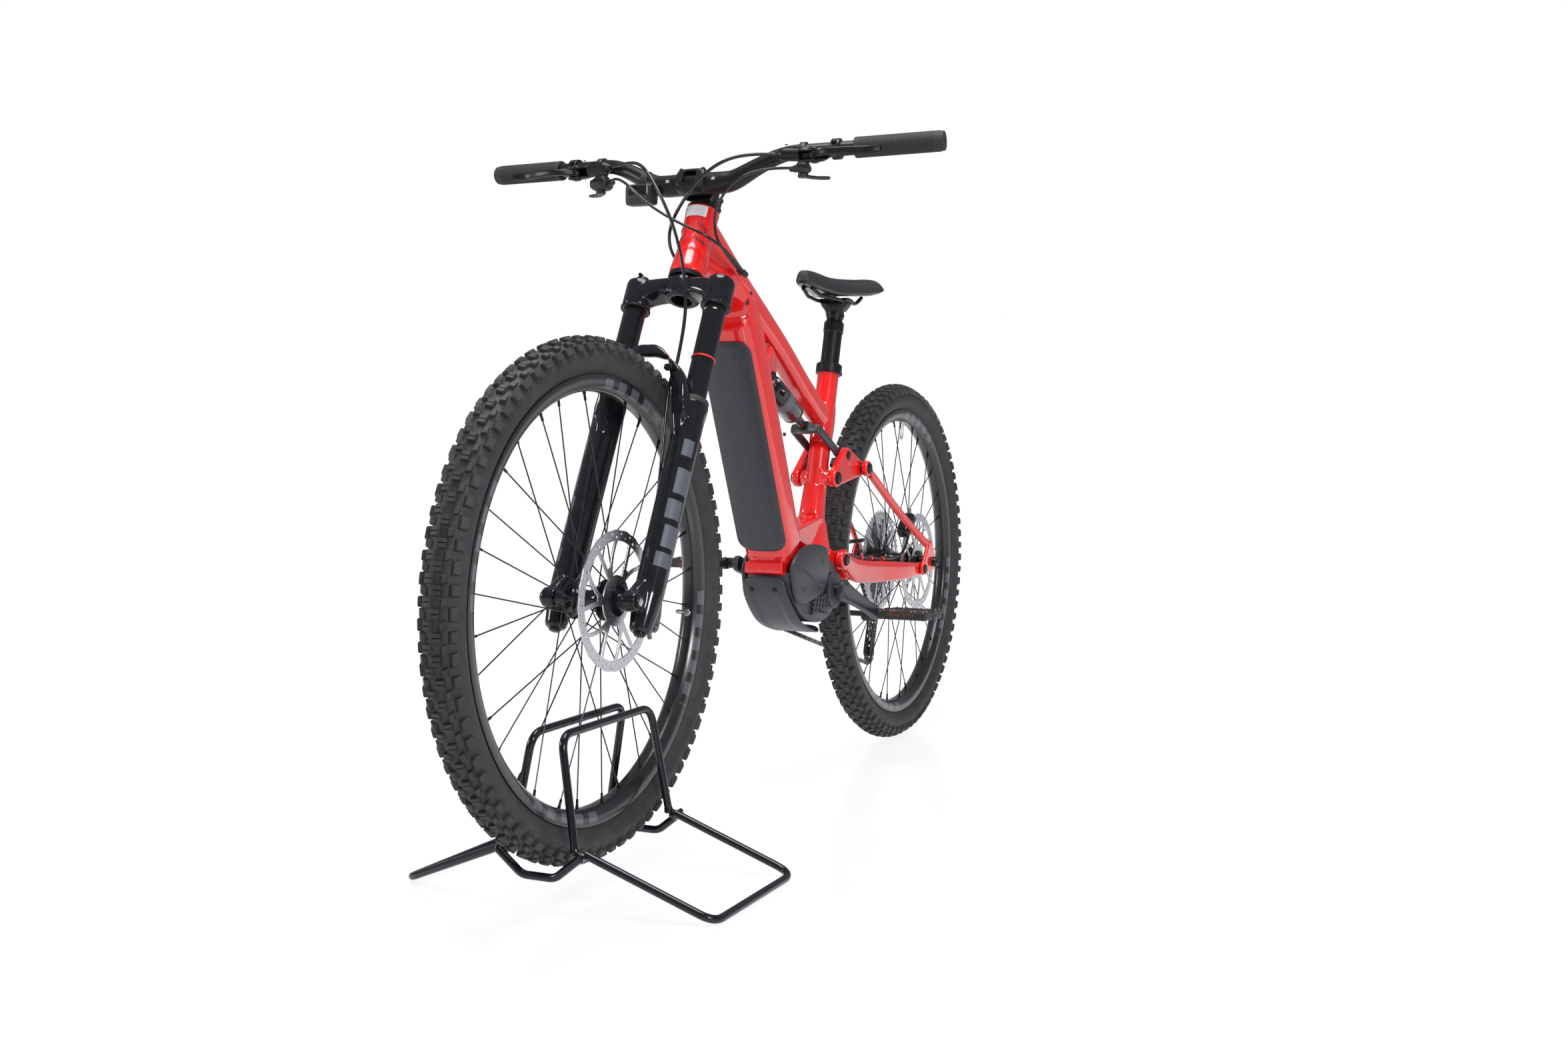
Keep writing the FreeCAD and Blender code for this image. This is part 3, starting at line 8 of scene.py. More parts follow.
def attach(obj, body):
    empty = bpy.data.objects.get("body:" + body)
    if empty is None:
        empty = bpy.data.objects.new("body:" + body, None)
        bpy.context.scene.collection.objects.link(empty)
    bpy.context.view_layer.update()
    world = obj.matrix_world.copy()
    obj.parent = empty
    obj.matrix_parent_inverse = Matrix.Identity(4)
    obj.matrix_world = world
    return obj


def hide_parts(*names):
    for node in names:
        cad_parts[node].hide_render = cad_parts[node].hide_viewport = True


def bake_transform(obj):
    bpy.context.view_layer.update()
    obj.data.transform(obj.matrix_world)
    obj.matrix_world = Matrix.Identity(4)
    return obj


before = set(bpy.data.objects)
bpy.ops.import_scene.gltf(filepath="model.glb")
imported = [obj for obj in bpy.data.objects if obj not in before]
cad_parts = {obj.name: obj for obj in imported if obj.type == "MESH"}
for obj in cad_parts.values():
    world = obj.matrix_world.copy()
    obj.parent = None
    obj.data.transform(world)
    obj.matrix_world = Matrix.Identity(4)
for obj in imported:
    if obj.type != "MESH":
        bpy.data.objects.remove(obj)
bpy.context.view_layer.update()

# ---------------------------------------------------------------- frame of reference
# Shapes are drawn in millimetres on the level bicycle, then tipped about the rear axle and scaled to metres.
REAR, FRONT = Vector((-611, 0, 372)), Vector((611, 0, 372))
NOSE_UP = asin(36 / 1222)
METRES = Matrix.Scale(0.001, 4)
LEVEL = METRES @ Matrix.Translation(REAR) @ Matrix.Rotation(-NOSE_UP, 4, "Y") @ Matrix.Translation(-REAR)
X, Y, Z = Vector((1, 0, 0)), Vector((0, 1, 0)), Vector((0, 0, 1))
TAU = 2 * pi
SIDES = (1, -1)

HEAD = Vector((333.5, 0, 857.3))    # the lower end of the head tube
HEAD_ANGLE = radians(65)
STEER = Vector((-cos(HEAD_ANGLE), 0, sin(HEAD_ANGLE)))
AHEAD = Vector((STEER.z, 0, -STEER.x))


def fork(lead, side, up):
    """A point by its lead ahead of the steering axis, its side and its height along it."""
    return HEAD + AHEAD * lead + STEER * up + Y * side


def V(x, y, z):
    return Vector((x, y, z))


def radial(turn):
    """Unit vector at an angle in the X-Z plane, the plane of the wheels."""
    return V(cos(turn), 0, sin(turn))


def tangent(turn):
    return V(-sin(turn), 0, cos(turn))


def turned(point):
    """The same point a quarter turn round in the X-Z plane."""
    return V(-point.z, 0, point.x)


def circling(n, b, count):
    """Unit vectors round a circle spanned by two directions."""
    return [n * cos(TAU * k / count) + b * sin(TAU * k / count) for k in range(count)]


# ---------------------------------------------------------------- mesh helpers
def skin(bm, rings, cap=True, closed=False):
    """Quads between rings of points, with flat ends or joined round into a loop."""
    layers = [[bm.verts.new(p) for p in ring] for ring in rings]
    count = len(rings[0])
    pairs = list(zip(layers, layers[1:])) + ([(layers[-1], layers[0])] if closed else [])
    for a, b in pairs:
        for k in range(count):
            bm.faces.new((a[k], a[(k + 1) % count], b[(k + 1) % count], b[k]))
    if cap and not closed:
        bm.faces.new(layers[0][::-1])
        bm.faces.new(layers[-1])


def smooth_rows(rows, steps):
    """Catmull-Rom curve through rows of numbers."""
    out = []
    for i in range(len(rows) - 1):
        four = rows[max(i - 1, 0)], rows[i], rows[i + 1], rows[min(i + 2, len(rows) - 1)]
        for s in range(steps):
            t = s / steps
            out.append([0.5 * (2 * b + (c - a) * t + (2 * a - 5 * b + 4 * c - d) * t * t
                               + (3 * b - a - 3 * c + d) * t ** 3) for a, b, c, d in zip(*four)])
    return out + [list(rows[-1])]


def oval(centre, across, along, width, height, power, sides):
    """Points round a superellipse."""
    out = []
    for k in range(sides):
        c, s = cos(TAU * (k + 0.5) / sides), sin(TAU * (k + 0.5) / sides)
        u = copysign(abs(c) ** (2 / power), c) * width / 2
        v = copysign(abs(s) ** (2 / power), s) * height / 2
        out.append(centre + across * u + along * v)
    return out


def loft(bm, stations, power=2.8, sides=32, steps=6):
    """Rounded section drawn through (centre, across, along, width, height) stations."""
    rows = [[*c, *a.normalized(), *b.normalized(), w, h, *(rest or [power])] for c, a, b, w, h,
            *rest in stations]
    rings = []
    for r in smooth_rows(rows, steps):
        rings.append(oval(V(*r[0:3]), V(*r[3:6]).normalized(), V(*r[6:9]).normalized(), r[9], r[10],
                          max(2, r[11]), sides))
    skin(bm, rings)


def transported(points):
    """(point, normal, binormal) along a line, turning as little as possible."""
    out, normal = [], None
    for i, p in enumerate(points):
        ahead = (points[min(i + 1, len(points) - 1)] - points[max(i - 1, 0)]).normalized()
        if normal is None:
            normal = ahead.orthogonal().normalized()
        normal = (normal - ahead * normal.dot(ahead)).normalized()
        out.append((p, normal, ahead.cross(normal)))
    return out


def tube(bm, points, radius, sides=14, steps=6, cap=True):
    """Round tube on a smooth line; radius is one number or one for each point."""
    radii = radius if isinstance(radius, (list, tuple)) else [radius] * len(points)
    rows = smooth_rows([[*p, r] for p, r in zip(points, radii)], steps)
    rings = []
    for (p, n, b), row in zip(transported([V(*r[:3]) for r in rows]), rows):
        rings.append([p + u * row[3] for u in circling(n, b, sides)])
    skin(bm, rings, cap)


def wire_line(corners, bend, arc=7):
    """A bent wire's line: straight runs with round corners."""
    out = [corners[0]]
    for a, c, b in zip(corners, corners[1:], corners[2:]):
        inward, outward = (c - a).normalized(), (b - c).normalized()
        turn = inward.angle(outward)
        reach = min(bend * tan(turn / 2), 0.45 * min((c - a).length, (b - c).length))
        for k in range(arc + 1):
            t = k / arc
            out.append((c - inward * reach) * (1 - t) ** 2 + c * 2 * t * (1 - t)
                       + (c + outward * reach) * t * t)
    return out + [corners[-1]]


def lathe(bm, centre, axis, profile, sides=48, closed=False):
    """Turns (radius, height) pairs about an axis; closed joins the last pair to the first."""
    axis = axis.normalized()
    n = axis.orthogonal().normalized()
    round_axis = circling(n, axis.cross(n), sides)
    skin(bm, [[centre + axis * h + u * max(r, 0.01) for u in round_axis] for r, h in profile],
         closed=closed)


def rod(bm, start, end, radius, edge=0.8, sides=28):
    """A cylinder with broken edges."""
    length = (end - start).length
    edge = min(edge, radius * 0.45, length * 0.45)
    lathe(bm, start, end - start, [(radius - edge, 0), (radius - 0.3 * edge, 0.3 * edge), (radius, edge),
                                   (radius, length - edge), (radius - 0.3 * edge, length - 0.3 * edge),
                                   (radius - edge, length)], sides)


def ring(bm, centre, axis, low, high, inner, outer, edge=0.6, sides=56):
    """A collar with broken edges, from low to high along its axis."""
    e = min(edge, (outer - inner) * 0.4, (high - low) * 0.4)
    lathe(bm, centre, axis, [(inner, low), (outer - e, low), (outer, low + e), (outer, high - e),
                             (outer - e, high), (inner, high)], sides, closed=True)


def prism(bm, outline, y0, y1, inset=1.2):
    """A plate with an outline in X and Z and chamfered faces."""
    mid_x = sum(p[0] for p in outline) / len(outline)
    mid_z = sum(p[1] for p in outline) / len(outline)
    reach = max(hypot(x - mid_x, z - mid_z) for x, z in outline)
    shrink = 1 - inset / reach

    def layer(y, k):
        return [V(mid_x + (x - mid_x) * k, y, mid_z + (z - mid_z) * k) for x, z in outline]

    step = copysign(min(inset, abs(y1 - y0) * 0.4), y1 - y0)
    skin(bm, [layer(y0, shrink), layer(y0 + step * 0.3, 1 - (1 - shrink) * 0.3), layer(y0 + step, 1),
              layer(y1 - step, 1), layer(y1 - step * 0.3, 1 - (1 - shrink) * 0.3), layer(y1, shrink)])


def soft_outline(points, rounds=2):
    """Cuts the corners of a closed outline, twice as fine each round."""
    for _ in range(rounds):
        cut = []
        for a, b in zip(points, points[1:] + points[:1]):
            cut.append((a[0] * 0.78 + b[0] * 0.22, a[1] * 0.78 + b[1] * 0.22))
            cut.append((a[0] * 0.22 + b[0] * 0.78, a[1] * 0.22 + b[1] * 0.78))
        points = cut
    return points


def strap_outline(discs, arc=10):
    """Outline round a row of discs (x, z, radius)."""
    (xa, za, ra), (xb, zb, rb) = discs[0], discs[-1]
    heading = atan2(zb - za, xb - xa)
    left, right = heading + pi / 2, heading - pi / 2
    out = [(xa + ra * cos(a), za + ra * sin(a)) for a in (left + pi * i / arc for i in range(arc + 1))]
    out += [(x + r * cos(right), z + r * sin(right)) for x, z, r in discs[1:-1]]
    out += [(xb + rb * cos(a), zb + rb * sin(a)) for a in (right + pi * i / arc for i in range(arc + 1))]
    return out + [(x + r * cos(left), z + r * sin(left)) for x, z, r in discs[-2:0:-1]]


def box(bm, centre, sizes, axes=(X, Y, Z), edge=0.8):
    """A block with chamfered edges."""
    a, b, c = (axis.normalized() * size / 2 for axis, size in zip(axes, sizes))
    e = [min(0.9, edge / (size / 2)) for size in sizes]
    rings = []
    for h, k in ((-1, 1), (-1 + e[2], 0), (1 - e[2], 0), (1, 1)):
        u, v = 1 - k * e[0], 1 - k * e[1]
        cu, cv = 1 - e[0] * (1 + k) * 0.999, 1 - e[1] * (1 + k) * 0.999
        cu, cv = max(cu, 0.02), max(cv, 0.02)
        rings.append([centre + c * h + a * s + b * t for s, t in
                      ((u, -cv), (u, cv), (cu, v), (-cu, v), (-u, cv), (-u, -cv), (-cu, -v), (cu, -v))])
    skin(bm, rings)


def stamped(bm, loops, y, thick, edge=0.25):
    """Sheet metal in the X-Z plane at y: the first loop is its outline, the rest are holes."""
    curve = bpy.data.curves.new("loops", "CURVE")
    curve.dimensions, curve.fill_mode = "2D", "BOTH"
    curve.extrude, curve.bevel_depth, curve.bevel_resolution = thick / 2 - edge, edge, 0
    for loop in loops:
        spline = curve.splines.new("POLY")
        spline.points.add(len(loop) - 1)
        for point, (u, v) in zip(spline.points, loop):
            point.co = (u, v, 0, 1)
        spline.use_cyclic_u = True
    holder = bpy.data.objects.new("loops", curve)
    mesh = bpy.data.meshes.new_from_object(holder)
    mesh.transform(Matrix.Translation((0, y, 0)) @ Matrix.Rotation(pi / 2, 4, "X"))
    bm.from_mesh(mesh)
    bpy.data.objects.remove(holder)
    bpy.data.curves.remove(curve)
    bpy.data.meshes.remove(mesh)


def circle(x, z, r, count=24):
    """Corner pairs of a round outline."""
    return [(x + r * cos(TAU * k / count), z + r * sin(TAU * k / count)) for k in range(count)]


def hex_head(bm, centre, axis, radius, height, key=0.5):
    """A button bolt head with a hexagon socket."""
    axis = axis.normalized()
    lathe(bm, centre, axis, [(radius, 0), (radius, height * 0.55), (radius * 0.86, height * 0.9),
                             (radius * 0.72, height)], 24)
    n = axis.orthogonal().normalized()
    corners = circling(n, axis.cross(n), 6)
    skin(bm, [[centre + axis * h + u * radius * size for u in corners] for h,
              size in ((height + 0.02, key + 0.12), (height + 0.25, key + 0.06), (height * 0.35, key))])


def mirrored(bm):
    """Adds the right-hand copy of a left-hand shape."""
    made = bmesh.ops.duplicate(bm, geom=bm.verts[:] + bm.edges[:] + bm.faces[:])["geom"]
    verts = [g for g in made if isinstance(g, bmesh.types.BMVert)]
    for v in verts:
        v.co.y = -v.co.y
    bmesh.ops.reverse_faces(bm, faces=[g for g in made if isinstance(g, bmesh.types.BMFace)])


def piece(name, bm, body, material, replaces=(), place=LEVEL, sharp=36, extra=()):
    """Turns a drawn shape into an object that rides on a body."""
    bmesh.ops.recalc_face_normals(bm, faces=bm.faces)
    bm.transform(place)
    mesh = bpy.data.meshes.new(name)
    bm.to_mesh(mesh)
    bm.free()
    mesh.shade_smooth()
    mesh.set_sharp_from_angle(angle=radians(sharp))
    obj = bpy.data.objects.new(name, mesh)
    bpy.context.scene.collection.objects.link(obj)
    for m in (material, *extra):
        mesh.materials.append(m)
    if body:
        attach(obj, body)
    if replaces:
        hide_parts(*replaces)
    return obj


def melt(bm, voxel, rounds, cutters=None):
    """Joins overlapping shapes into one skin with rounded joints, like cast or welded metal."""
    bmesh.ops.recalc_face_normals(bm, faces=bm.faces)
    mesh = bpy.data.meshes.new("melt")
    bm.to_mesh(mesh)
    holder = bpy.data.objects.new("melt", mesh)
    bpy.context.scene.collection.objects.link(holder)
    remesh = holder.modifiers.new("voxels", "REMESH")
    remesh.mode, remesh.voxel_size, remesh.adaptivity = "VOXEL", voxel, 0
    relax = holder.modifiers.new("relax", "SMOOTH")
    relax.factor, relax.iterations = 0.5, rounds
    cut = None
    if cutters is not None:
        bmesh.ops.recalc_face_normals(cutters, faces=cutters.faces)
        cut_mesh = bpy.data.meshes.new("cut")
        cutters.to_mesh(cut_mesh)
        cut = bpy.data.objects.new("cut", cut_mesh)
        bpy.context.scene.collection.objects.link(cut)
        boolean = holder.modifiers.new("cut", "BOOLEAN")
        boolean.operation, boolean.object, boolean.solver = "DIFFERENCE", cut, "EXACT"
    graph = bpy.context.evaluated_depsgraph_get()
    made = bpy.data.meshes.new_from_object(holder.evaluated_get(graph))
    out = bmesh.new()
    out.from_mesh(made)
    for o in (holder, cut):
        if o:
            bpy.data.objects.remove(o)
    bm.free()
    return out


# ---------------------------------------------------------------- materials
def surface(name, base, vary, rough, rough_vary=0.06, scale=90.0, bump=0.0, bump_scale=900.0,
            bump_size=0.0004, **sockets):
    """A procedural finish: mottled colour, uneven roughness and a fine grain."""
    material = bpy.data.materials.new(name)
    material.use_nodes = True
    nodes, links = material.node_tree.nodes, material.node_tree.links
    shader = nodes["Principled BSDF"]
    place = nodes.new("ShaderNodeTexCoord")
    mottle = nodes.new("ShaderNodeTexNoise")
    mottle.inputs["Scale"].default_value = scale
    mottle.inputs["Detail"].default_value = 5
    links.new(place.outputs["Object"], mottle.inputs["Vector"])
    ramp = nodes.new("ShaderNodeValToRGB")
    ramp.color_ramp.elements[0].position, ramp.color_ramp.elements[1].position = 0.3, 0.7
    ramp.color_ramp.elements[0].color = (*base, 1)
    ramp.color_ramp.elements[1].color = (*vary, 1)
    links.new(mottle.outputs["Fac"], ramp.inputs["Fac"])
    links.new(ramp.outputs["Color"], shader.inputs["Base Color"])
    spread = nodes.new("ShaderNodeMapRange")
    spread.inputs["To Min"].default_value = max(0.0, rough - rough_vary)
    spread.inputs["To Max"].default_value = rough + rough_vary
    links.new(mottle.outputs["Fac"], spread.inputs["Value"])
    links.new(spread.outputs["Result"], shader.inputs["Roughness"])
    if bump:
        grain = nodes.new("ShaderNodeTexNoise")
        grain.inputs["Scale"].default_value = bump_scale
        grain.inputs["Detail"].default_value = 3
        links.new(place.outputs["Object"], grain.inputs["Vector"])
        lift = nodes.new("ShaderNodeBump")
        lift.inputs["Strength"].default_value = bump
        lift.inputs["Distance"].default_value = bump_size
        links.new(grain.outputs["Fac"], lift.inputs["Height"])
        links.new(lift.outputs["Normal"], shader.inputs["Normal"])
    for socket, value in sockets.items():
        shader.inputs[socket.replace("_", " ")].default_value = value
    return material


RED = surface("paint_red", (0.72, 0.009, 0.010), (0.80, 0.013, 0.012), 0.2, 0.03, 60, 0.05, 260, 0.0006,
              Coat_Weight=0.8, Coat_Roughness=0.04)
ANTHRACITE = surface("satin_anthracite", (0.026, 0.028, 0.034), (0.036, 0.038, 0.045), 0.42, 0.05, 140,
                     0.18, 1800)
MOTOR_GREY = surface("cast_motor_grey", (0.052, 0.056, 0.066), (0.078, 0.083, 0.095), 0.46, 0.07, 120, 0.3,
                     1300, Metallic=0.35)
GLOSS = surface("gloss_black_paint", (0.006, 0.006, 0.008), (0.010, 0.011, 0.014), 0.14, 0.03, 70, 0.03,
                300, 0.0005, Specular_IOR_Level=0.25, Coat_Weight=0.35, Coat_Roughness=0.03)
BLACK_METAL = surface("anodised_black", (0.010, 0.010, 0.012), (0.018, 0.018, 0.021), 0.34, 0.06, 240, 0.12,
                      2400, Metallic=0.55)
RUBBER = surface("grip_rubber", (0.014, 0.014, 0.016), (0.026, 0.026, 0.028), 0.7, 0.08, 300, 0.35, 2600)
PLASTIC = surface("moulded_black_plastic", (0.011, 0.011, 0.013), (0.019, 0.019, 0.022), 0.5, 0.07, 260,
                  0.3, 2200)
PLASTIC_GLOSS = surface("polished_plastic", (0.008, 0.008, 0.010), (0.013, 0.013, 0.016), 0.16, 0.04, 160,
                        0.03, 900)
STEEL = surface("brushed_steel", (0.46, 0.46, 0.48), (0.60, 0.60, 0.62), 0.27, 0.07, 500, 0.16, 3500,
                Metallic=1.0)
DARK_STEEL = surface("blackened_steel", (0.10, 0.10, 0.11), (0.19, 0.19, 0.20), 0.3, 0.08, 420, 0.14, 3000,
                     Metallic=1.0)
SPOKE = surface("black_spoke", (0.016, 0.016, 0.018), (0.034, 0.034, 0.038), 0.33, 0.06, 500, Metallic=0.7)
CRANK_GREY = surface("crank_grey", (0.040, 0.042, 0.050), (0.060, 0.063, 0.072), 0.36, 0.06, 160, 0.2, 1700,
                     Metallic=0.4)
STAND_BLACK = surface("stand_enamel", (0.005, 0.005, 0.008), (0.009, 0.010, 0.014), 0.2, 0.06, 130, 0.12,
                      500, 0.0005, Specular_IOR_Level=0.25, Coat_Weight=0.35, Coat_Roughness=0.08)
SADDLE_SKIN = surface("saddle_cover", (0.011, 0.011, 0.013), (0.022, 0.022, 0.025), 0.58, 0.08, 500, 0.5,
                      2400, 0.0003)
AMBER = surface("amber_lens", (0.60, 0.13, 0.012), (0.80, 0.20, 0.02), 0.16, 0.05, 420, 0.5, 1500, 0.0004,
                Coat_Weight=0.5)
ORANGE_RED = surface("red_ring", (0.75, 0.02, 0.03), (0.88, 0.04, 0.05), 0.32, 0.05, 400)
STANCHION = surface("stanchion_black", (0.006, 0.006, 0.008), (0.011, 0.011, 0.013), 0.09, 0.02, 300, 0.02,
                    1500, Specular_IOR_Level=0.25, Metallic=0.1, Coat_Weight=0.4, Coat_Roughness=0.02)
PRINT_GREY = surface("printed_grey", (0.075, 0.085, 0.105), (0.10, 0.11, 0.135), 0.4, 0.05, 500)
PRINT_WHITE = surface("printed_white", (0.62, 0.62, 0.62), (0.72, 0.72, 0.72), 0.45, 0.05, 500)
LABEL = surface("plain_label", (0.72, 0.72, 0.72), (0.84, 0.84, 0.84), 0.4, 0.05, 300)


def polar_blocks(name, centre, base, print_colour, count, share, low, high):
    """Gloss black rim with a band of plain grey blocks round it."""
    material = surface(name, base, tuple(1.5 * c for c in base), 0.26, 0.05, 200, 0.06, 1500,
                       Coat_Weight=0.3, Coat_Roughness=0.15)
    nodes, links = material.node_tree.nodes, material.node_tree.links
    shader = nodes["Principled BSDF"]
    plain = shader.inputs["Base Color"].links[0].from_socket

    def maths(kind, a, b=None):
        node = nodes.new("ShaderNodeMath")
        node.operation = kind
        for socket, value in zip(node.inputs, (a, b)):
            if value is None:
                continue
            if isinstance(value, (int, float)):
                socket.default_value = value
            else:
                links.new(value, socket)
        return node.outputs[0]

    place = nodes.new("ShaderNodeTexCoord")
    apart = nodes.new("ShaderNodeSeparateXYZ")
    links.new(place.outputs["Object"], apart.inputs[0])
    dx = maths("SUBTRACT", apart.outputs["X"], centre[0])
    dz = maths("SUBTRACT", apart.outputs["Z"], centre[2])
    turn = maths("DIVIDE", maths("ARCTAN2", dz, dx), TAU)
    radius = maths("SQRT", maths("ADD", maths("MULTIPLY", dx, dx), maths("MULTIPLY", dz, dz)))
    coarse = maths("LESS_THAN", maths("FRACT", maths("MULTIPLY", turn, 4.0)), share)
    fine = maths("GREATER_THAN", maths("FRACT", maths("MULTIPLY", turn, float(count))), 0.42)
    band = maths("MULTIPLY", maths("GREATER_THAN", radius, low), maths("LESS_THAN", radius, high))
    mask = maths("MULTIPLY", maths("MULTIPLY", coarse, fine), band)
    mix = nodes.new("ShaderNodeMix")
    mix.data_type = "RGBA"
    links.new(mask, mix.inputs["Factor"])
    links.new(plain, mix.inputs[6])
    mix.inputs[7].default_value = (*print_colour, 1)
    links.new(mix.outputs[2], shader.inputs["Base Color"])
    return material


def tyre_rubber():
    """Dusty tread rubber, with scuffs on the sidewall."""
    material = surface("tyre_rubber", (0.017, 0.017, 0.019), (0.034, 0.034, 0.037), 0.62, 0.1, 45, 0.4,
                       1100, 0.0005)
    nodes, links = material.node_tree.nodes, material.node_tree.links
    shader = nodes["Principled BSDF"]
    ramp = shader.inputs["Base Color"].links[0].from_node
    scuff = nodes.new("ShaderNodeTexNoise")
    scuff.inputs["Scale"].default_value = 14
    scuff.inputs["Detail"].default_value = 8
    scuff.inputs["Roughness"].default_value = 0.7
    place = nodes.new("ShaderNodeTexCoord")
    links.new(place.outputs["Object"], scuff.inputs["Vector"])
    limit = nodes.new("ShaderNodeMapRange")
    limit.inputs["From Min"].default_value = 0.52
    limit.inputs["From Max"].default_value = 0.75
    limit.inputs["To Max"].default_value = 0.5
    links.new(scuff.outputs["Fac"], limit.inputs["Value"])
    mix = nodes.new("ShaderNodeMix")
    mix.data_type = "RGBA"
    links.new(limit.outputs["Result"], mix.inputs["Factor"])
    links.new(ramp.outputs["Color"], mix.inputs[6])
    mix.inputs[7].default_value = (0.060, 0.059, 0.060, 1)
    links.new(mix.outputs[2], shader.inputs["Base Color"])
    return material


TYRE = tyre_rubber()


# ---------------------------------------------------------------- wheels
SECTION_R = 341.0      # radius at which the tyre's section is centred
CASE_R = 25.5          # the casing's own radius, without knobs
KNOBS = 80             # places round the tread
SPOKES = 32
NIPPLE_R = 293.6       # where the spokes enter the rim


def knob(bm, at, turn, lean, length, width, height, skew=0.0):
    """One tread block on the casing, at an angle round the wheel and one across the section."""
    out, along = radial(turn), tangent(turn)
    up = out * cos(lean) + Y * sin(lean)
    across = Y * cos(lean) - out * sin(lean)
    foot = at + out * SECTION_R + up * (CASE_R - 1.6)
    rings = []
    for h, k in ((0, 1.12), (1.6 + height * 0.8, 1.0), (1.6 + height, 0.84)):
        corners = ((1, 1), (-1, 1), (-1, -1), (1, -1))
        rings.append([foot + up * h + along * (s * length * k / 2 + t * skew) + across * t * width * k / 2
                      for s, t in corners])
    skin(bm, rings)


def tyre(at):
    """Casing and tread, knob by knob."""
    bm = bmesh.new()
    half = [(312.5, 11.6), (316.5, 14.9), (318.6, 15.6), (320.2, 17.6), (321.2, 17.4), (323.0, 19.8)]
    half += [(SECTION_R + CASE_R * cos(a), CASE_R * sin(a) * (1.06 if a > 1.2 else 1.0))
             for a in (radians(d) for d in (128, 116, 104, 92, 80, 68, 56, 44, 33, 22, 11))]
    profile = half + [(SECTION_R + CASE_R + 0.3, 0)] + [(r, -y) for r, y in half[::-1]]
    profile += [(312.5, -8), (312.5, 8)]
    lathe(bm, at, Y, profile, 160, closed=True)
    for n in range(KNOBS):
        turn = TAU * n / KNOBS
        step = TAU / KNOBS
        for side in SIDES:
            shift = 0.25 * step * side
            long_one = n % 2 == 0
            for half_knob in (-1, 1):
                knob(bm, at, turn + shift + half_knob * 0.0085, side * radians(12.5 if long_one else 16),
                     5.6, 10.5, 4.9)
            knob(bm, at, turn + 0.5 * step + shift, side * radians(36 if long_one else 33), 10.8, 7.0, 5.0,
                 1.2 * side)
            knob(bm, at, turn + 0.02 * side, side * radians(60), 15.5 if long_one else 13.0, 10.5, 6.4)
            knob(bm, at, turn + 0.02 * side, side * radians(77), 8.5 if long_one else 11.5, 5.0, 2.4)
    return bm


def rim(at):
    """A box-section rim turned about the axle."""
    bm = bmesh.new()
    half = [(294.0, 7.4), (294.6, 8.6), (300.5, 15.0), (302.4, 16.2), (315.6, 17.9), (317.2, 17.4),
            (317.6, 16.4), (316.6, 15.2), (311.6, 15.0), (310.8, 13.5)]
    profile = [(293.4, 5.0)] + half + [(308.6, 9), (308.6, 0)]
    profile += [(r, -y) for r, y in profile[::-1] if y]
    lathe(bm, at, Y, profile, 144, closed=True)
    return bm


def laced_spokes(at, left_y, right_y, flange):
    """Crossed spokes with elbows, heads and nipples."""
    wires, nipples = bmesh.new(), bmesh.new()
    for n in range(SPOKES):
        side = 1 if n % 2 else -1
        lace = 1 if (n // 2) % 2 else -1
        rim_a = TAU * (n + 0.5) / SPOKES
        hub_a = rim_a + lace * radians(52)
        y = left_y if side > 0 else right_y
        root = radial(hub_a) * flange + Y * y
        end = radial(rim_a) * NIPPLE_R + Y * side * 3.0
        elbow = root + Y * (side * lace * 2.4)
        head = root - Y * (side * lace * 2.2)
        lean = (end - elbow).normalized()
        line = [head, root, elbow + lean * 1.2, elbow + lean * 5, end - lean * 12]
        tube(wires, [at + p for p in line], 1.0, 7, 2)
        lathe(wires, at + head, Y * (side * lace), [(2.1, -0.9), (2.1, 0.2), (1.1, 0.7)], 10)
        lathe(nipples, at + end - lean * 13, lean,
              [(1.3, 0), (1.9, 0.5), (1.9, 9), (2.5, 9.6), (2.5, 14.5)], 8)
    return wires, nipples


def rotor(at, y):
    """Brake disc: a slotted ring on six pairs of raked arms."""
    loops = [[((99.3 + 0.6 * cos(24 * a)) * cos(a), (99.3 + 0.6 * cos(24 * a)) * sin(a))
              for a in (TAU * k / 288 for k in range(288))]]
    core, edge = 35.0, 84.5
    for n in range(6):
        a = radians(60 * n)
        arms = ((a, a + radians(-4)), (a + radians(8), a + radians(30)), (a + radians(60), a + radians(56)))
        for (a0, a1), (b0, b1), inner in ((arms[0], arms[1], 50.0), (arms[1], arms[2], core + 1)):
            left = [(inner + (edge - inner) * t / 6) for t in range(7)]
            one = [(r, a0 + (a1 - a0) * (r - core) / (edge - core) + 3.1 / r) for r in left]
            two = [(r, b0 + (b1 - b0) * (r - core) / (edge - core) - 3.1 / r) for r in left]
            top = [(edge, one[-1][1] + (two[-1][1] - one[-1][1]) * k / 6) for k in range(1, 6)]
            low = [(inner, two[0][1] + (one[0][1] - two[0][1]) * k / 4) for k in range(1, 4)]
            loops.append([(r * cos(t), r * sin(t)) for r, t in one + top + two[::-1] + low])
    for n in range(24):
        a = TAU * (n + 0.5) / 24
        loops.append(circle(94.2 * cos(a), 94.2 * sin(a), 2.1, 12))
        b = a + TAU / 48
        loops.append(circle(89.2 * cos(b), 89.2 * sin(b), 2.5 if n % 2 else 1.7, 12))
    loops.append(circle(0, 0, 22.3, 48))
    bm = bmesh.new()
    stamped(bm, loops, y, 1.9)
    bm.transform(Matrix.Translation((at.x, 0, at.z)))
    return bm


def hub(at, profile, rotor_y, knurl):
    """The turned hub with the splines of its lock ring."""
    bm = bmesh.new()
    lathe(bm, at, Y, profile, 56, closed=True)
    for k in range(knurl):
        a = TAU * k / knurl
        box(bm, at + radial(a) * 20.4 + Y * (rotor_y + 3.2), (3.4, 2.4, 1.8), (radial(a), Y, tangent(a)),
            0.3)
    return bm


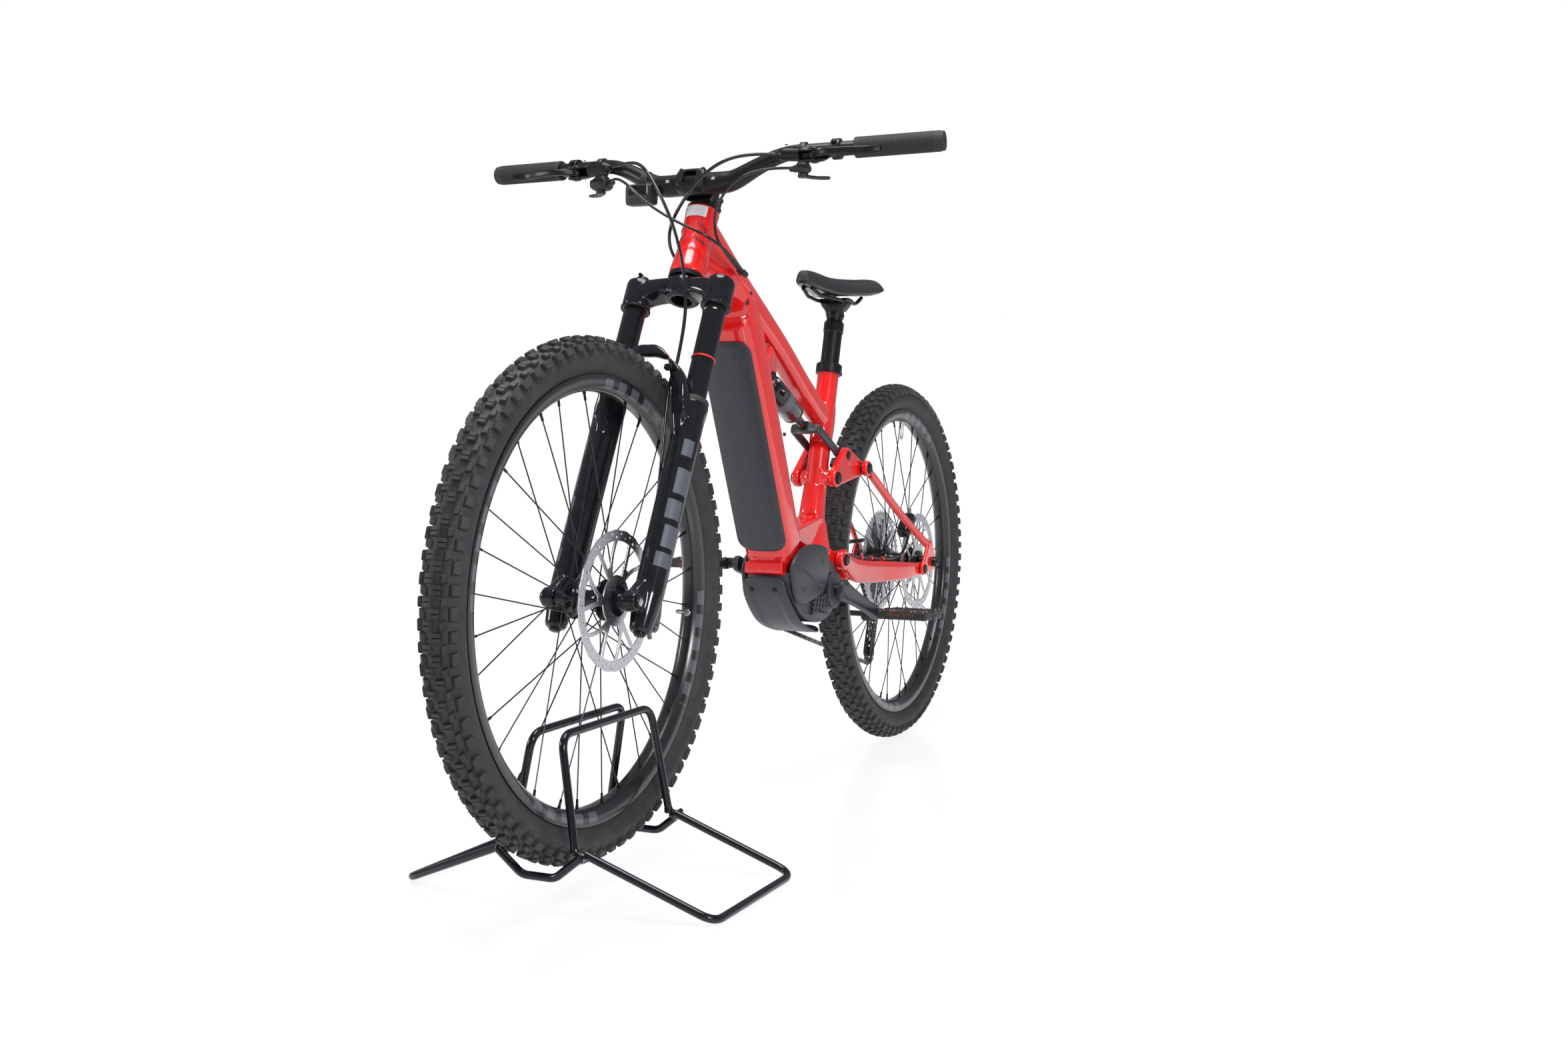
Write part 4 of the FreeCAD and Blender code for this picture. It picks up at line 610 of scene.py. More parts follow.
def wheel(name, at, profile, left_y, right_y, rotor_y):
    """Everything that spins with one wheel."""
    body = name + "_wheel"
    world = LEVEL @ at
    piece(name + "_tyre_knobby", tyre(at), body, TYRE, [name + "_tyre"])
    rim_finish = polar_blocks(name + "_rim_finish", world, (0.010, 0.010, 0.012), (0.085, 0.092, 0.105), 52,
                              0.42, 0.2985, 0.3125)
    piece(name + "_rim_box", rim(at), body, rim_finish, [name + "_rim"])
    wires, nipples = laced_spokes(at, left_y, right_y, 26.0)
    piece(name + "_spokes_laced", wires, body, SPOKE, [name + "_spokes"])
    piece(name + "_nipples", nipples, body, BLACK_METAL)
    piece(name + "_disc", rotor(at, rotor_y), body, STEEL, [name + "_rotor"], sharp=30)
    piece(name + "_hub_shell", hub(at, profile, rotor_y, 16), body, GLOSS, [name + "_hub"])
    valve = bmesh.new()
    out = radial(radians(188 if name == "front" else 96))
    lathe(valve, at + out * 294, -out, [(3.0, -1), (3.0, 24), (3.4, 24.4), (3.4, 33), (2.4, 37)], 18)
    lathe(valve, at + out * 294, -out, [(5.4, -0.5), (5.4, 2.6), (4.6, 3.2)], 18)
    piece(name + "_valve", valve, body, STEEL)


front_hub = [(8.6, -55), (11, -54.4), (11, -34), (15, -31), (29, -29), (29.4, -27.5), (29, -26),
             (18, -23.5), (15, -18), (13.4, -8), (13.4, 6), (15, 15), (18, 20.5), (29, 22), (29.4, 23.5),
             (29, 25), (22, 27), (22.2, 44.6), (15, 45.4), (11.4, 47), (11, 54.4), (8.6, 55)]
rear_hub = [(7.2, -28.5), (17, -28.5), (20, -26), (29, -23), (29.4, -21.5), (29, -20), (19, -17),
            (16.4, -10), (16.4, 20), (19, 29), (29, 32), (29.4, 33.5), (29, 35), (22, 37), (22.2, 54.6),
            (15, 55.4), (11.4, 57), (11, 73), (7.2, 73.4)]
wheel("front", FRONT, front_hub, 23.5, -27.5, 40.0)
wheel("rear", REAR, rear_hub, 33.5, -21.5, 50.0)

# ---------------------------------------------------------------- stand
STAND_ROD = 5.75


def stand():
    """Two wire loops and the floor rails, with their welds."""
    loops, base, welds = bmesh.new(), bmesh.new(), bmesh.new()
    for side in SIDES:
        high = [V(739, side * 51, 80), V(727, side * 23, 236), V(484, side * 23, 236),
                V(478, side * 51, 80)]
        tube(loops, wire_line(high, 26), STAND_ROD, 20, 1)
        wide = [V(735, side * 63.65, 80), V(714, side * 247, STAND_ROD), V(465, side * 247, STAND_ROD),
                V(482, side * 63.65, 80)]
        tube(base, wire_line(wide, 26), STAND_ROD, 20, 1)
        for top, foot, rail in ((high[1], high[0], wide[1]), (high[2], high[3], wide[2])):
            up, out = (top - foot).normalized(), (rail - foot).normalized()
            lathe(welds, foot + out * 6, out, [(6.0, -3), (6.9, 0), (6.6, 3.5), (7.0, 6), (6.2, 9)], 20)
            lathe(welds, foot - up * 1, up, [(6.1, 0), (7.1, 2.2), (6.6, 5), (6.0, 8)], 20)
    for x, out in ((478, -11.8), (739, 11.8)):
        dip = [V(x + out, -65, 78), V(x + out, -26, 47), V(x + out, 26, 47), V(x + out, 65, 78)]
        tube(base, wire_line(dip, 26), STAND_ROD, 20, 1)
        for side in SIDES:
            lathe(welds, V(x + out, side * 65, 78), Y * side, [(5.9, -2), (6.0, 0), (4.6, 1.6), (1.5, 2.4)],
                  18)
    piece("stand_loop_wires", loops, "stand", STAND_BLACK, ["stand_loops"], METRES)
    piece("stand_base_wires", base, "stand", STAND_BLACK, ["stand_base"], METRES)
    piece("stand_welds", welds, "stand", STAND_BLACK, (), METRES)


stand()

# ---------------------------------------------------------------- main frame
SEAT = V(-240, 0, 756)
SEAT_ANGLE = radians(75.5)
POST_UP = V(-cos(SEAT_ANGLE), 0, sin(SEAT_ANGLE))
POST_BACK = turned(POST_UP)
BB = V(-160, 0, 339)
MAIN, HORST = V(-203, 0, 393), V(-562, 0, 359)
ROCK, STAY = V(-185, 0, 545), V(-305.5, 0, 564)
SHOCK, YOKE = V(52, 0, 720), V(-235, 0, 588)
DOWN = (V(6, 0, 432) - V(190, 0, 822)).normalized()
DOWN_BACK = V(DOWN.z, 0, -DOWN.x)


def front_triangle():
    """The welded tubes of the frame in one skin."""
    bm = bmesh.new()
    lathe(bm, HEAD, STEER, [(28, 0), (29.5, 2), (29.4, 9), (27.6, 24), (25.2, 46), (24.6, 66), (25.2, 90),
                            (26.6, 110), (27.4, 119), (26, 121)], 56)
    neck = HEAD + STEER * 42
    loft(bm, [(neck - AHEAD * 10, Y, STEER, 47, 76), (neck + V(-66, 0, -22), Y, V(0.25, 0, 1), 64, 76),
              (V(214, 0, 846), Y, V(0.55, 0, 0.83), 84, 74), (V(172, 0, 789), Y, DOWN_BACK, 91, 77),
              (V(92, 0, 618), Y, DOWN_BACK, 92, 79), (V(28, 0, 479), Y, DOWN_BACK, 92, 78),
              (V(4, 0, 428), Y, DOWN_BACK, 90, 77), (V(-3, 0, 404), Y, V(1, 0, 0.1), 84, 76)], 3.6, 40, 6)
    loft(bm, [(V(296, 0, 938), Y, V(0.48, 0, -0.88), 44, 40),
              (V(283, 0, 931), Y, V(0.48, 0, -0.88), 50, 43),
              (V(170, 0, 866), Y, V(0.48, 0, -0.88), 42, 47), (V(0, 0, 775), Y, V(0.48, 0, -0.88), 39, 41),
              (V(-110, 0, 707), Y, V(0.48, 0, -0.88), 38, 40),
              (V(-196, 0, 661), Y, V(0.48, 0, -0.88), 36, 43)], 3.4, 32, 6)
    loft(bm, [(V(268, 0, 890), Y, V(0.5, 0, -0.87), 30, 46), (V(226, 0, 870), Y, V(0.5, 0, -0.87), 30, 40)],
         2.6, 24, 3)
    rod(bm, SEAT - POST_UP * 322, SEAT, 20, 0.4, 40)
    loft(bm, [(SEAT - POST_UP * 78, Y, POST_BACK, 41, 41), (SEAT - POST_UP * 110, Y, POST_BACK, 42, 50),
              (SEAT - POST_UP * 150, Y, POST_BACK, 40, 42)], 2.4, 32, 5)
    loft(bm, [(SEAT - POST_UP * 236, Y, POST_BACK, 40, 41), (SEAT - POST_UP * 286, Y, POST_BACK, 44, 48),
              (V(-168, 0, 446), Y, X, 52, 60), (V(-158, 0, 424), Y, X, 66, 78),
              (V(-150, 0, 412), Y, X, 72, 96)], 2.9, 36, 5)
    prism(bm, [(44, 398), (-2, 404), (-120, 412), (-180, 412), (-216, 406), (-218, 380), (-196, 376),
               (-186, 354), (-172, 354), (-168, 396), (-110, 400), (10, 388), (30, 374), (44, 380)], -36,
          36, 1)
    prism(bm, [(-8, 446), (-120, 416), (-178, 410), (-190, 446), (-152, 474), (-60, 456)], -22, 22, 2)
    rod(bm, MAIN - Y * 38, MAIN + Y * 38, 17)
    for side in SIDES:
        lathe(bm, ROCK + Y * side * 16, Y * side, [(19, 0), (15, 6), (13.4, 13.6)], 32)
    frame_skin = melt(bm, 2.0, 7)
    piece("frame_front_triangle", frame_skin, "frame", RED,
          ["down_tube", "head_tube", "seat_tube", "top_tube", "motor_cradle"], sharp=60)


def shock_lugs():
    """Two ears under the top tube for the shock."""
    lugs = bmesh.new()
    for side in SIDES:
        prism(lugs, soft_outline([(30, 752), (66, 778), (70, 742), (64, 712), (52, 705), (40, 712)], 2),
              side * 12.6, side * 18.4, 1.4)
    box(lugs, V(56, 0, 764), (26, 30, 18), edge=3)
    piece("shock_lugs", lugs, "frame", RED)


def battery_cover():
    """A crowned cover with round corners on the down tube, and its lock."""
    cover = bmesh.new()
    start = V(168, 0, 780) - DOWN_BACK * 41 - DOWN * 4
    end = V(20, 0, 462) - DOWN_BACK * 41 + DOWN * 30
    length, width, corner = (end - start).length, 92.0, 24.0
    rings = []
    for s in [corner * (1 - cos(pi / 2 * k / 9)) for k in range(10)] + [length * k / 10
            for k in range(1, 10)] + [length - corner * (1 - cos(pi / 2 * k / 9))
                                      for k in range(9, -1, -1)]:
        near = min(s, length - s)
        w = width - 2 * corner + 2 * sqrt(max(0, corner ** 2 - max(0, corner - near) ** 2))
        rise = 5.4 * (1 - 0.55 * max(0, 1 - near / 8))
        c = start + (end - start) * (s / length)
        row = []
        for k in range(25):
            u = -1 + 2 * k / 24
            crown = (1 - abs(u) ** 2.6) ** 0.6
            row.append(c + Y * u * w / 2 - DOWN_BACK * (rise * crown - 2.2))
        under = [c + Y * u * (w / 2 - 0.6) + DOWN_BACK * 5 for u in [1 - 2 * k / 12 for k in range(13)]]
        rings.append(row + under)
    skin(cover, rings)
    piece("battery_cover_shell", cover, "frame", ANTHRACITE, ["battery_cover"], sharp=30)
    lock = bmesh.new()
    at = start + DOWN * 26 - DOWN_BACK * 2.6
    ring(lock, at + Y * 16, -DOWN_BACK, -2, 0.9, 3.2, 5.2, 0.4)
    lathe(lock, at + Y * 16, -DOWN_BACK, [(3.2, -2.4), (2.2, -0.6), (1.2, -0.4)], 24)
    piece("battery_lock", lock, "frame", PLASTIC_GLOSS)


def port_plugs():
    """Oval plugs in the sides of the down tube."""
    plugs = bmesh.new()
    for side in SIDES:
        loft(plugs, [(V(197, side * 41.2, 838), V(-0.45, 0, 0.9), V(0.9, 0, 0.45), 25, 14),
                     (V(197, side * 43.4, 838), V(-0.45, 0, 0.9), V(0.9, 0, 0.45), 24, 13)], 2.2, 28, 1)
    lathe(plugs, V(56, 42, 620), Y, [(3, 0), (3, 3.4), (2, 4)], 16)
    piece("port_plugs", plugs, "frame", PLASTIC)


def head_tube_slot_shade():
    """Short slots fanned round the head tube, drawn as dark slabs: painted shade in place of their hollows.
    """
    slot_shade = bmesh.new()
    for side in SIDES:
        for row, up in ((0, 84), (1, 60)):
            for k in range(5):
                turn = side * radians(24 + 9 * k)
                out = AHEAD * cos(turn) + Y * sin(turn)
                at = HEAD + STEER * (up - 2.2 * k) + out * 24.6
                along = (STEER + Y * side * (0.35 if row == 0 else 0.15)).normalized()
                # thin dark box on the tube's surface: painted shade for the slot
                box(slot_shade, at, (1.3, 1.8, 8.5), (out.cross(along), out, along), 0.3)
    piece("head_tube_slot_shade", slot_shade, "frame", PLASTIC)


def plain_sticker():
    """A blank label wrapped on the head tube."""
    sticker = bmesh.new()
    rows = []
    for h in (98, 101, 104, 107, 110, 113, 116):
        rows.append([HEAD + STEER * h + (AHEAD * cos(a) + Y * sin(a)) * r
                     for r in (25.4 + 0.1 * (h - 98), 26.5 + 0.1 * (h - 98))
                     for a in ([radians(-34 + 8 * k) for k in range(11)] if r < 26.2
                               + 0.1 * (h - 98) else [radians(46 - 8 * k) for k in range(11)])])
    skin(sticker, rows)
    piece("plain_sticker", sticker, "frame", LABEL)


def frame_hardware():
    """Headset rings, seat collar and pivot bolts."""
    hardware = bmesh.new()
    ring(hardware, HEAD, STEER, -7, 0, 19.6, 29.2)
    ring(hardware, HEAD, STEER, 120.4, 125, 14.6, 26.2)
    ring(hardware, SEAT, POST_UP, -16, 3, 17.6, 24.4, 1.2)
    box(hardware, SEAT - POST_UP * 7 - POST_BACK * -24, (12, 24, 14), (POST_BACK, Y, POST_UP), 2)
    hex_head(hardware, SEAT - POST_UP * 7 + POST_BACK * 26 + Y * 12, Y, 4.2, 4)
    piece("headset_and_collar", hardware, "frame", BLACK_METAL, ["frame_hardware"])
    bolts = bmesh.new()
    rod(bolts, MAIN - Y * 46, MAIN + Y * 56, 8)
    hex_head(bolts, MAIN + Y * 55.6, Y, 11, 3.6)
    rod(bolts, SHOCK - Y * 21, SHOCK + Y * 21, 5)
    for side in SIDES:
        hex_head(bolts, SHOCK + Y * side * 18.6, Y * side, 8, 4)
        rod(bolts, ROCK + Y * side * 20, ROCK + Y * side * 45, 8)
        hex_head(bolts, ROCK + Y * side * 44.4, Y * side, 11.6, 3.8)
    piece("pivot_bolts", bolts, "frame", BLACK_METAL)


for build in (front_triangle, shock_lugs, battery_cover, port_plugs, head_tube_slot_shade, plain_sticker,
              frame_hardware):
    build()


# ---------------------------------------------------------------- drive unit
def motor_casting():
    """The motor's ribbed core and its ringed bolt."""
    core = bmesh.new()
    outline = [(34, 380), (24, 344), (-22, 300), (-96, 282), (-152, 290), (-186, 318), (-180, 350),
               (-178, 378), (-168, 392), (-116, 396), (4, 382)]
    prism(core, soft_outline(outline), -38, 45, 3)
    lathe(core, BB - Y * 44, Y, [(28, 0), (30, 3), (30, 88), (33, 92), (33, 96), (27, 98)], 48)
    for k in range(6):
        at = V(-70 - 15 * k, 0, 316 + 2.2 * k)
        box(core, at + Y * 47, (5, 9, 34 - 2 * k), (V(0.9, 0, 0.35), Y, V(-0.35, 0, 0.9)), 1.2)
    for k in range(4):
        box(core, V(-98, 48, 302 + 9 * k), (76, 7, 3.6), (V(1, 0, 0.1), Y, V(-0.1, 0, 1)), 1)
    rod(core, V(-176, 38, 330), V(-176, 50, 330), 9)
    piece("motor_casting", core, "frame", MOTOR_GREY, ["motor_unit"])
    ringed = bmesh.new()
    ring(ringed, V(-176, 50, 330), Y, -2, 2.4, 6, 10.5)
    piece("motor_bolt_ring", ringed, "frame", ORANGE_RED)
    head = bmesh.new()
    hex_head(head, V(-176, 50, 330), Y, 6, 3)
    piece("motor_bolt", head, "frame", BLACK_METAL)


def motor_covers():
    """The side covers, their screws and the ridge of the left one."""
    covers, holes = bmesh.new(), bmesh.new()
    shape = soft_outline([(40, 398), (30, 350), (6, 322), (-56, 328), (-104, 340), (-122, 362), (-128, 392),
                          (-116, 424), (-20, 430)], 3)
    for side, inner in ((1, 46.2), (-1, 38.2)):
        prism(covers, shape, side * inner, side * (inner + 8.6), 5)
        for x, z in ((14, 388), (-8, 350), (-92, 396)):
            ring(holes, V(x, side * (inner + 8.4), z), Y * side, -2, 0.5, 2.6, 4.6, 0.3, 24)
            lathe(holes, V(x, side * (inner + 8.4), z), Y * side, [(2.7, -2), (2.4, -1.2)], 20)
    ridge = [V(24, 54.2, 402), V(-40, 55.2, 372), V(-96, 54.6, 350)]
    tube(covers, ridge, 2.2, 12, 5)
    piece("motor_side_covers", covers, "frame", ANTHRACITE, ["motor_covers"])
    piece("motor_cover_screws", holes, "frame", BLACK_METAL)


def skid_guard():
    """A dished plate that follows the motor's belly."""
    skid = bmesh.new()
    path = [(44, 374), (41, 352), (30, 334), (8, 312), (-18, 290), (-52, 276), (-96, 266), (-126, 266),
            (-144, 274)]
    rings = []
    for i, (x, z) in enumerate(path):
        bx, bz = path[max(i - 1, 0)]
        ax, az = path[min(i + 1, len(path) - 1)]
        along = V(ax - bx, 0, az - bz).normalized()
        out = -turned(along)
        out = out if out.z < 0 or out.x > 0 else -out
        width = (80, 84, 86, 88, 88, 86, 80, 70, 54)[i] / 2
        row = []
        for k in range(17):
            u = -1 + 2 * k / 16
            dish = 2.6 * (1 if abs(u) < 0.52 and 2 <= i <= 6 else 0)
            row.append(V(x, width * u, z) + out * (3.5 * (1 - abs(u) ** 4) - dish))
        row += [V(x, width * u, z) - out * 7 for u in (1, 0.5, 0, -0.5, -1)]
        rings.append(row)
    skin(skid, rings)
    plate = piece("skid_guard", skid, "frame", ANTHRACITE, ["skid_plate"], sharp=50)
    level = plate.modifiers.new("smooth", "SUBSURF")
    level.levels = level.render_levels = 2
    heads = bmesh.new()
    for side in SIDES:
        hex_head(heads, V(39.5, side * 22, 352), V(0.95, 0, -0.3), 6, 3)
    piece("skid_bolts", heads, "frame", BLACK_METAL)


motor_casting()
motor_covers()
skid_guard()
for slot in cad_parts["battery_pack"].material_slots:
    slot.material = PLASTIC


# ---------------------------------------------------------------- rear suspension
def chainstays():
    """Both chainstays with their bridge and pivot bosses."""
    bm = bmesh.new()
    for side in SIDES:
        near = [(-214, 388, 48, 40, 14), (-262, 371, 47, 46, 14), (-330, 364, 49, 44, 14)]
        if side < 0:
            near = [(-214, 388, 45.3, 40, 12), (-262, 371, 45.3, 46, 12), (-330, 364, 47, 44, 13)]
        rows = near + [(-390, 362, 53, 42, 15), (-490, 359, 68, 34, 12), (HORST.x, HORST.z, 70, 27, 11)]
        loft(bm, [(V(x, side * y, z), Y, Z, t, d) for x, z, y, d, t in rows], 3.6, 28, 5)
        rod(bm, MAIN + Y * side * 41, MAIN + Y * side * (55 if side > 0 else 51.3), 20, 2)
        rod(bm, HORST + Y * side * 64.5, HORST + Y * side * 75.5, 13, 1.5)
    loft(bm, [(V(-227, -47, 366), X, Z, 12, 24), (V(-227, 47, 366), X, Z, 12, 24)], 3, 20, 2)
    piece("chainstay_yoke", melt(bm, 1.8, 5), "chainstay", RED, ["chainstay"], sharp=60)
    caps = bmesh.new()
    for side in SIDES:
        hex_head(caps, HORST + Y * side * 75.2, Y * side, 6.4, 0.6)
    piece("chainstay_pins", caps, "chainstay", BLACK_METAL)


def seatstays():
    """Both seatstays with their dropouts, bolts and the rear axle."""
    bm = bmesh.new()
    for side in SIDES:
        rows = [(-318, 558, 53, 30, 12), (-360, 536, 54, 29, 13), (-455, 483, 60, 26, 14),
                (-540, 436, 70, 25, 13), (-596, 404, 80, 27, 10)]
        loft(bm, [(V(x, side * y, z), Y, V(0.5, 0, 0.87), t, d) for x, z, y, d, t in rows], 3.2, 28, 5)
        rod(bm, STAY + Y * side * 47.2, STAY + Y * side * 59, 15, 1.5)
        prism(bm, strap_outline([(-598, 404, 13), (REAR.x, REAR.z, 19)]), side * 76.6, side * 84, 1.2)
        prism(bm, strap_outline([(REAR.x, REAR.z, 18), (HORST.x, HORST.z, 13)]), side * 76.6, side * 84,
              1.2)
        prism(bm, strap_outline([(-598, 404, 13), (HORST.x, HORST.z, 12.5)]), side * 76.6, side * 84, 1.2)
        rod(bm, REAR + Y * side * 74.3, REAR + Y * side * 84, 14, 1)
    piece("seatstay_arms", melt(bm, 1.8, 4), "seatstay", RED, ["seatstay"], sharp=60)
    ends = bmesh.new()
    for side in SIDES:
        rod(ends, HORST + Y * side * 65, HORST + Y * side * 85, 5.9)
        hex_head(ends, HORST + Y * side * 83.6, Y * side, 9.6, 3.2)
        hex_head(ends, STAY + Y * side * 58.6, Y * side, 11, 3.4)
    piece("seatstay_bolts", ends, "seatstay", BLACK_METAL)
    axle = bmesh.new()
    rod(axle, REAR - Y * 92, REAR + Y * 92, 6)
    for side in SIDES:
        lathe(axle, REAR + Y * side * 84.2, Y * side, [(10, 0), (10, 6), (8.6, 9), (4.6, 9.6), (4.2, 5.5)],
              32)
    piece("rear_through_axle", axle, "seatstay", BLACK_METAL, ["rear_axle"])


def rocker_link():
    """Two plates that join the seatstays, the frame and the shock's yoke."""
    bm = bmesh.new()
    for side in SIDES:
        lo, hi = side * 30.4, side * 43.8
        prism(bm, strap_outline([(ROCK.x, ROCK.z, 17), (YOKE.x, YOKE.z, 15)], 14), lo, hi, 3)
        prism(bm, strap_outline([(YOKE.x, YOKE.z, 15), (STAY.x, STAY.z, 14)], 14), lo, hi, 3)
        prism(bm, strap_outline([(ROCK.x, ROCK.z, 15), (STAY.x, STAY.z, 13)], 14), lo, hi, 3)
    piece("rocker_plates", melt(bm, 1.5, 4), "rocker", RED, ["rocker_link"], sharp=60)
    pins = bmesh.new()
    for side in SIDES:
        rod(pins, STAY + Y * side * 43.4, STAY + Y * side * 46.8, 11)
        hex_head(pins, YOKE + Y * side * 43.6, Y * side, 8.6, 2.4)
    piece("rocker_pins", pins, "rocker", BLACK_METAL)


def shock():
    """The air can on the frame, and the shaft with its yoke."""
    down = (YOKE - SHOCK).normalized()
    up = turned(down)
    can = bmesh.new()
    lathe(can, SHOCK, down, [(10, 6), (12, 18), (15, 20), (15, 30), (19.6, 33), (21, 37), (21, 64),
                             (20.2, 65), (20.2, 67), (21, 68), (21, 132), (20, 134), (20, 136),
                             (20.6, 137.4), (20.6, 139), (18.5, 140.4), (8.3, 140.4)], 56)
    rod(can, SHOCK - Y * 12, SHOCK + Y * 12, 12, 1.5)
    lathe(can, SHOCK + down * 48, (up * 0.4 + Y).normalized(), [(7, 14), (7, 26), (5.5, 28.4), (3, 29)], 28)
    piece("shock_can", can, "shock_body", GLOSS, ["shock_body"])
    marks = bmesh.new()
    ring(marks, SHOCK, down, 76, 98, 20.4, 21.25, 0.2)
    piece("shock_band", marks, "shock_body", PRINT_GREY)
    yoke = bmesh.new()
    head = SHOCK + down * 194
    loft(yoke, [(head - down * 2.5, Y, up, 22, 22), (head + down * 4, Y, up, 40, 22),
                (head + down * 12, Y, up, 58, 20)], 3, 28, 5)
    for side in SIDES:
        knee = SHOCK + down * 200 + Y * side * 22
        loft(yoke, [(knee, Y, up, 12, 18), (knee + down * 12 + Y * side * 3.5, Y, up, 9, 18),
                    (YOKE + Y * side * 25.5 - down * 30, Y, up, 8.6, 17),
                    (YOKE + Y * side * 25.5, Y, up, 8.6, 17)], 3, 24, 5)
        rod(yoke, YOKE + Y * side * 21.5, YOKE + Y * side * 29.5, 11, 1)
    piece("shock_yoke", melt(yoke, 1.3, 4), "shock_shaft", CRANK_GREY, sharp=60)
    shaft = bmesh.new()
    rod(shaft, SHOCK + down * 110, SHOCK + down * 196, 8, 0.5, 40)
    piece("shock_rod", shaft, "shock_shaft", STANCHION, ["shock_shaft"])
    travel = bmesh.new()
    ring(travel, SHOCK, down, 150, 152.4, 8.1, 10, 0.8)
    piece("shock_travel_ring", travel, "shock_shaft", ORANGE_RED)


chainstays()
seatstays()
rocker_link()
shock()


# ---------------------------------------------------------------- fork
LEG_LEAD, LEG_OUT = 13.0, 70.0
STANCHION_BORE = 17.6   # clearance bore over a stanchion


def leg(side, up):
    """A point on the axis of a fork leg."""
    return fork(LEG_LEAD, side * LEG_OUT, up)


def crown():
    """Steerer, crown, stanchions and what sits on them."""
    bm, hollow = bmesh.new(), bmesh.new()
    lathe(bm, fork(0, 0, 0), STEER, [(25, -42), (28, -39), (29, -30), (28.5, -16), (26.6, -9.4), (24, -9)],
          48)
    for side in SIDES:
        loft(bm, [(fork(0, side * 4, -26), AHEAD, STEER, 52, 32),
                  (fork(4, side * 24, -26), AHEAD, STEER, 47, 31),
                  (fork(9, side * 44, -31), AHEAD, STEER, 42, 35),
                  (fork(13, side * 64, -39), AHEAD, STEER, 41, 44)], 3, 32, 6)
        lathe(bm, leg(side, 0), STEER, [(20, -62), (22, -61.4), (22.4, -54), (22.4, -24), (21.4, -18),
                                        (18.5, -16)], 48)
    for side in SIDES:
        lathe(hollow, leg(side, -90), STEER, [(17.5, 0), (17.5, 62)], 48)
    lathe(hollow, fork(0, 0, -80), STEER, [(17.5, 0), (17.5, 50), (14.4, 52), (14.4, 90)], 48)
    piece("fork_crown", melt(bm, 1.6, 4, hollow), "steering", GLOSS, ["fork_uppers"],
          sharp=45)
    tubes = bmesh.new()
    for side in SIDES:
        lathe(tubes, leg(side, 0), STEER, [(17.4, -376), (17.4, -24), (15.4, -24), (15.4, -376)], 56,
              closed=True)
    piece("fork_stanchions", tubes, "steering", STANCHION)
    lips = bmesh.new()
    for side in SIDES:
        ring(lips, leg(side, 0), STEER, -66.5, -61.5, 17.6, 23.6, 1.2)
    ring(lips, fork(0, 0, 0), STEER, -43, -39, 16.8, 23, 1.0)
    lathe(lips, fork(0, 0, 0), STEER, [(14.3, -38), (14.3, 161), (12.4, 161), (12.4, -38)], 48, closed=True)
    piece("crown_lips", lips, "steering", BLACK_METAL)
    knob_right = bmesh.new()
    lathe(knob_right, leg(-1, -16), STEER, [(15, -1), (15, 2), (11, 4), (10, 8), (7, 9.6)], 32)
    lathe(knob_right, leg(1, -16), STEER, [(18, -1), (17, 1.6), (12, 2.4)], 40)
    box(knob_right, leg(-1, -6) + AHEAD * 6, (16, 6, 5), (AHEAD, Y, STEER), 1.5)
    piece("fork_leg_caps", knob_right, "steering", BLACK_METAL)
    print_marks = bmesh.new()
    for turn in (-0.5, 0.5):
        out = AHEAD * cos(turn) + Y * sin(turn)
        box(print_marks, leg(1, -74) + out * 17.3, (0.5, 5.5, 2.4), (out, out.cross(STEER), STEER), 0.2)
    piece("stanchion_print", print_marks, "steering", PRINT_WHITE)
    bead = bmesh.new()
    ring(bead, leg(1, 0), STEER, -156, -153.4, 17.5, 18.9, 0.9)
    piece("fork_travel_ring", bead, "steering", ORANGE_RED)


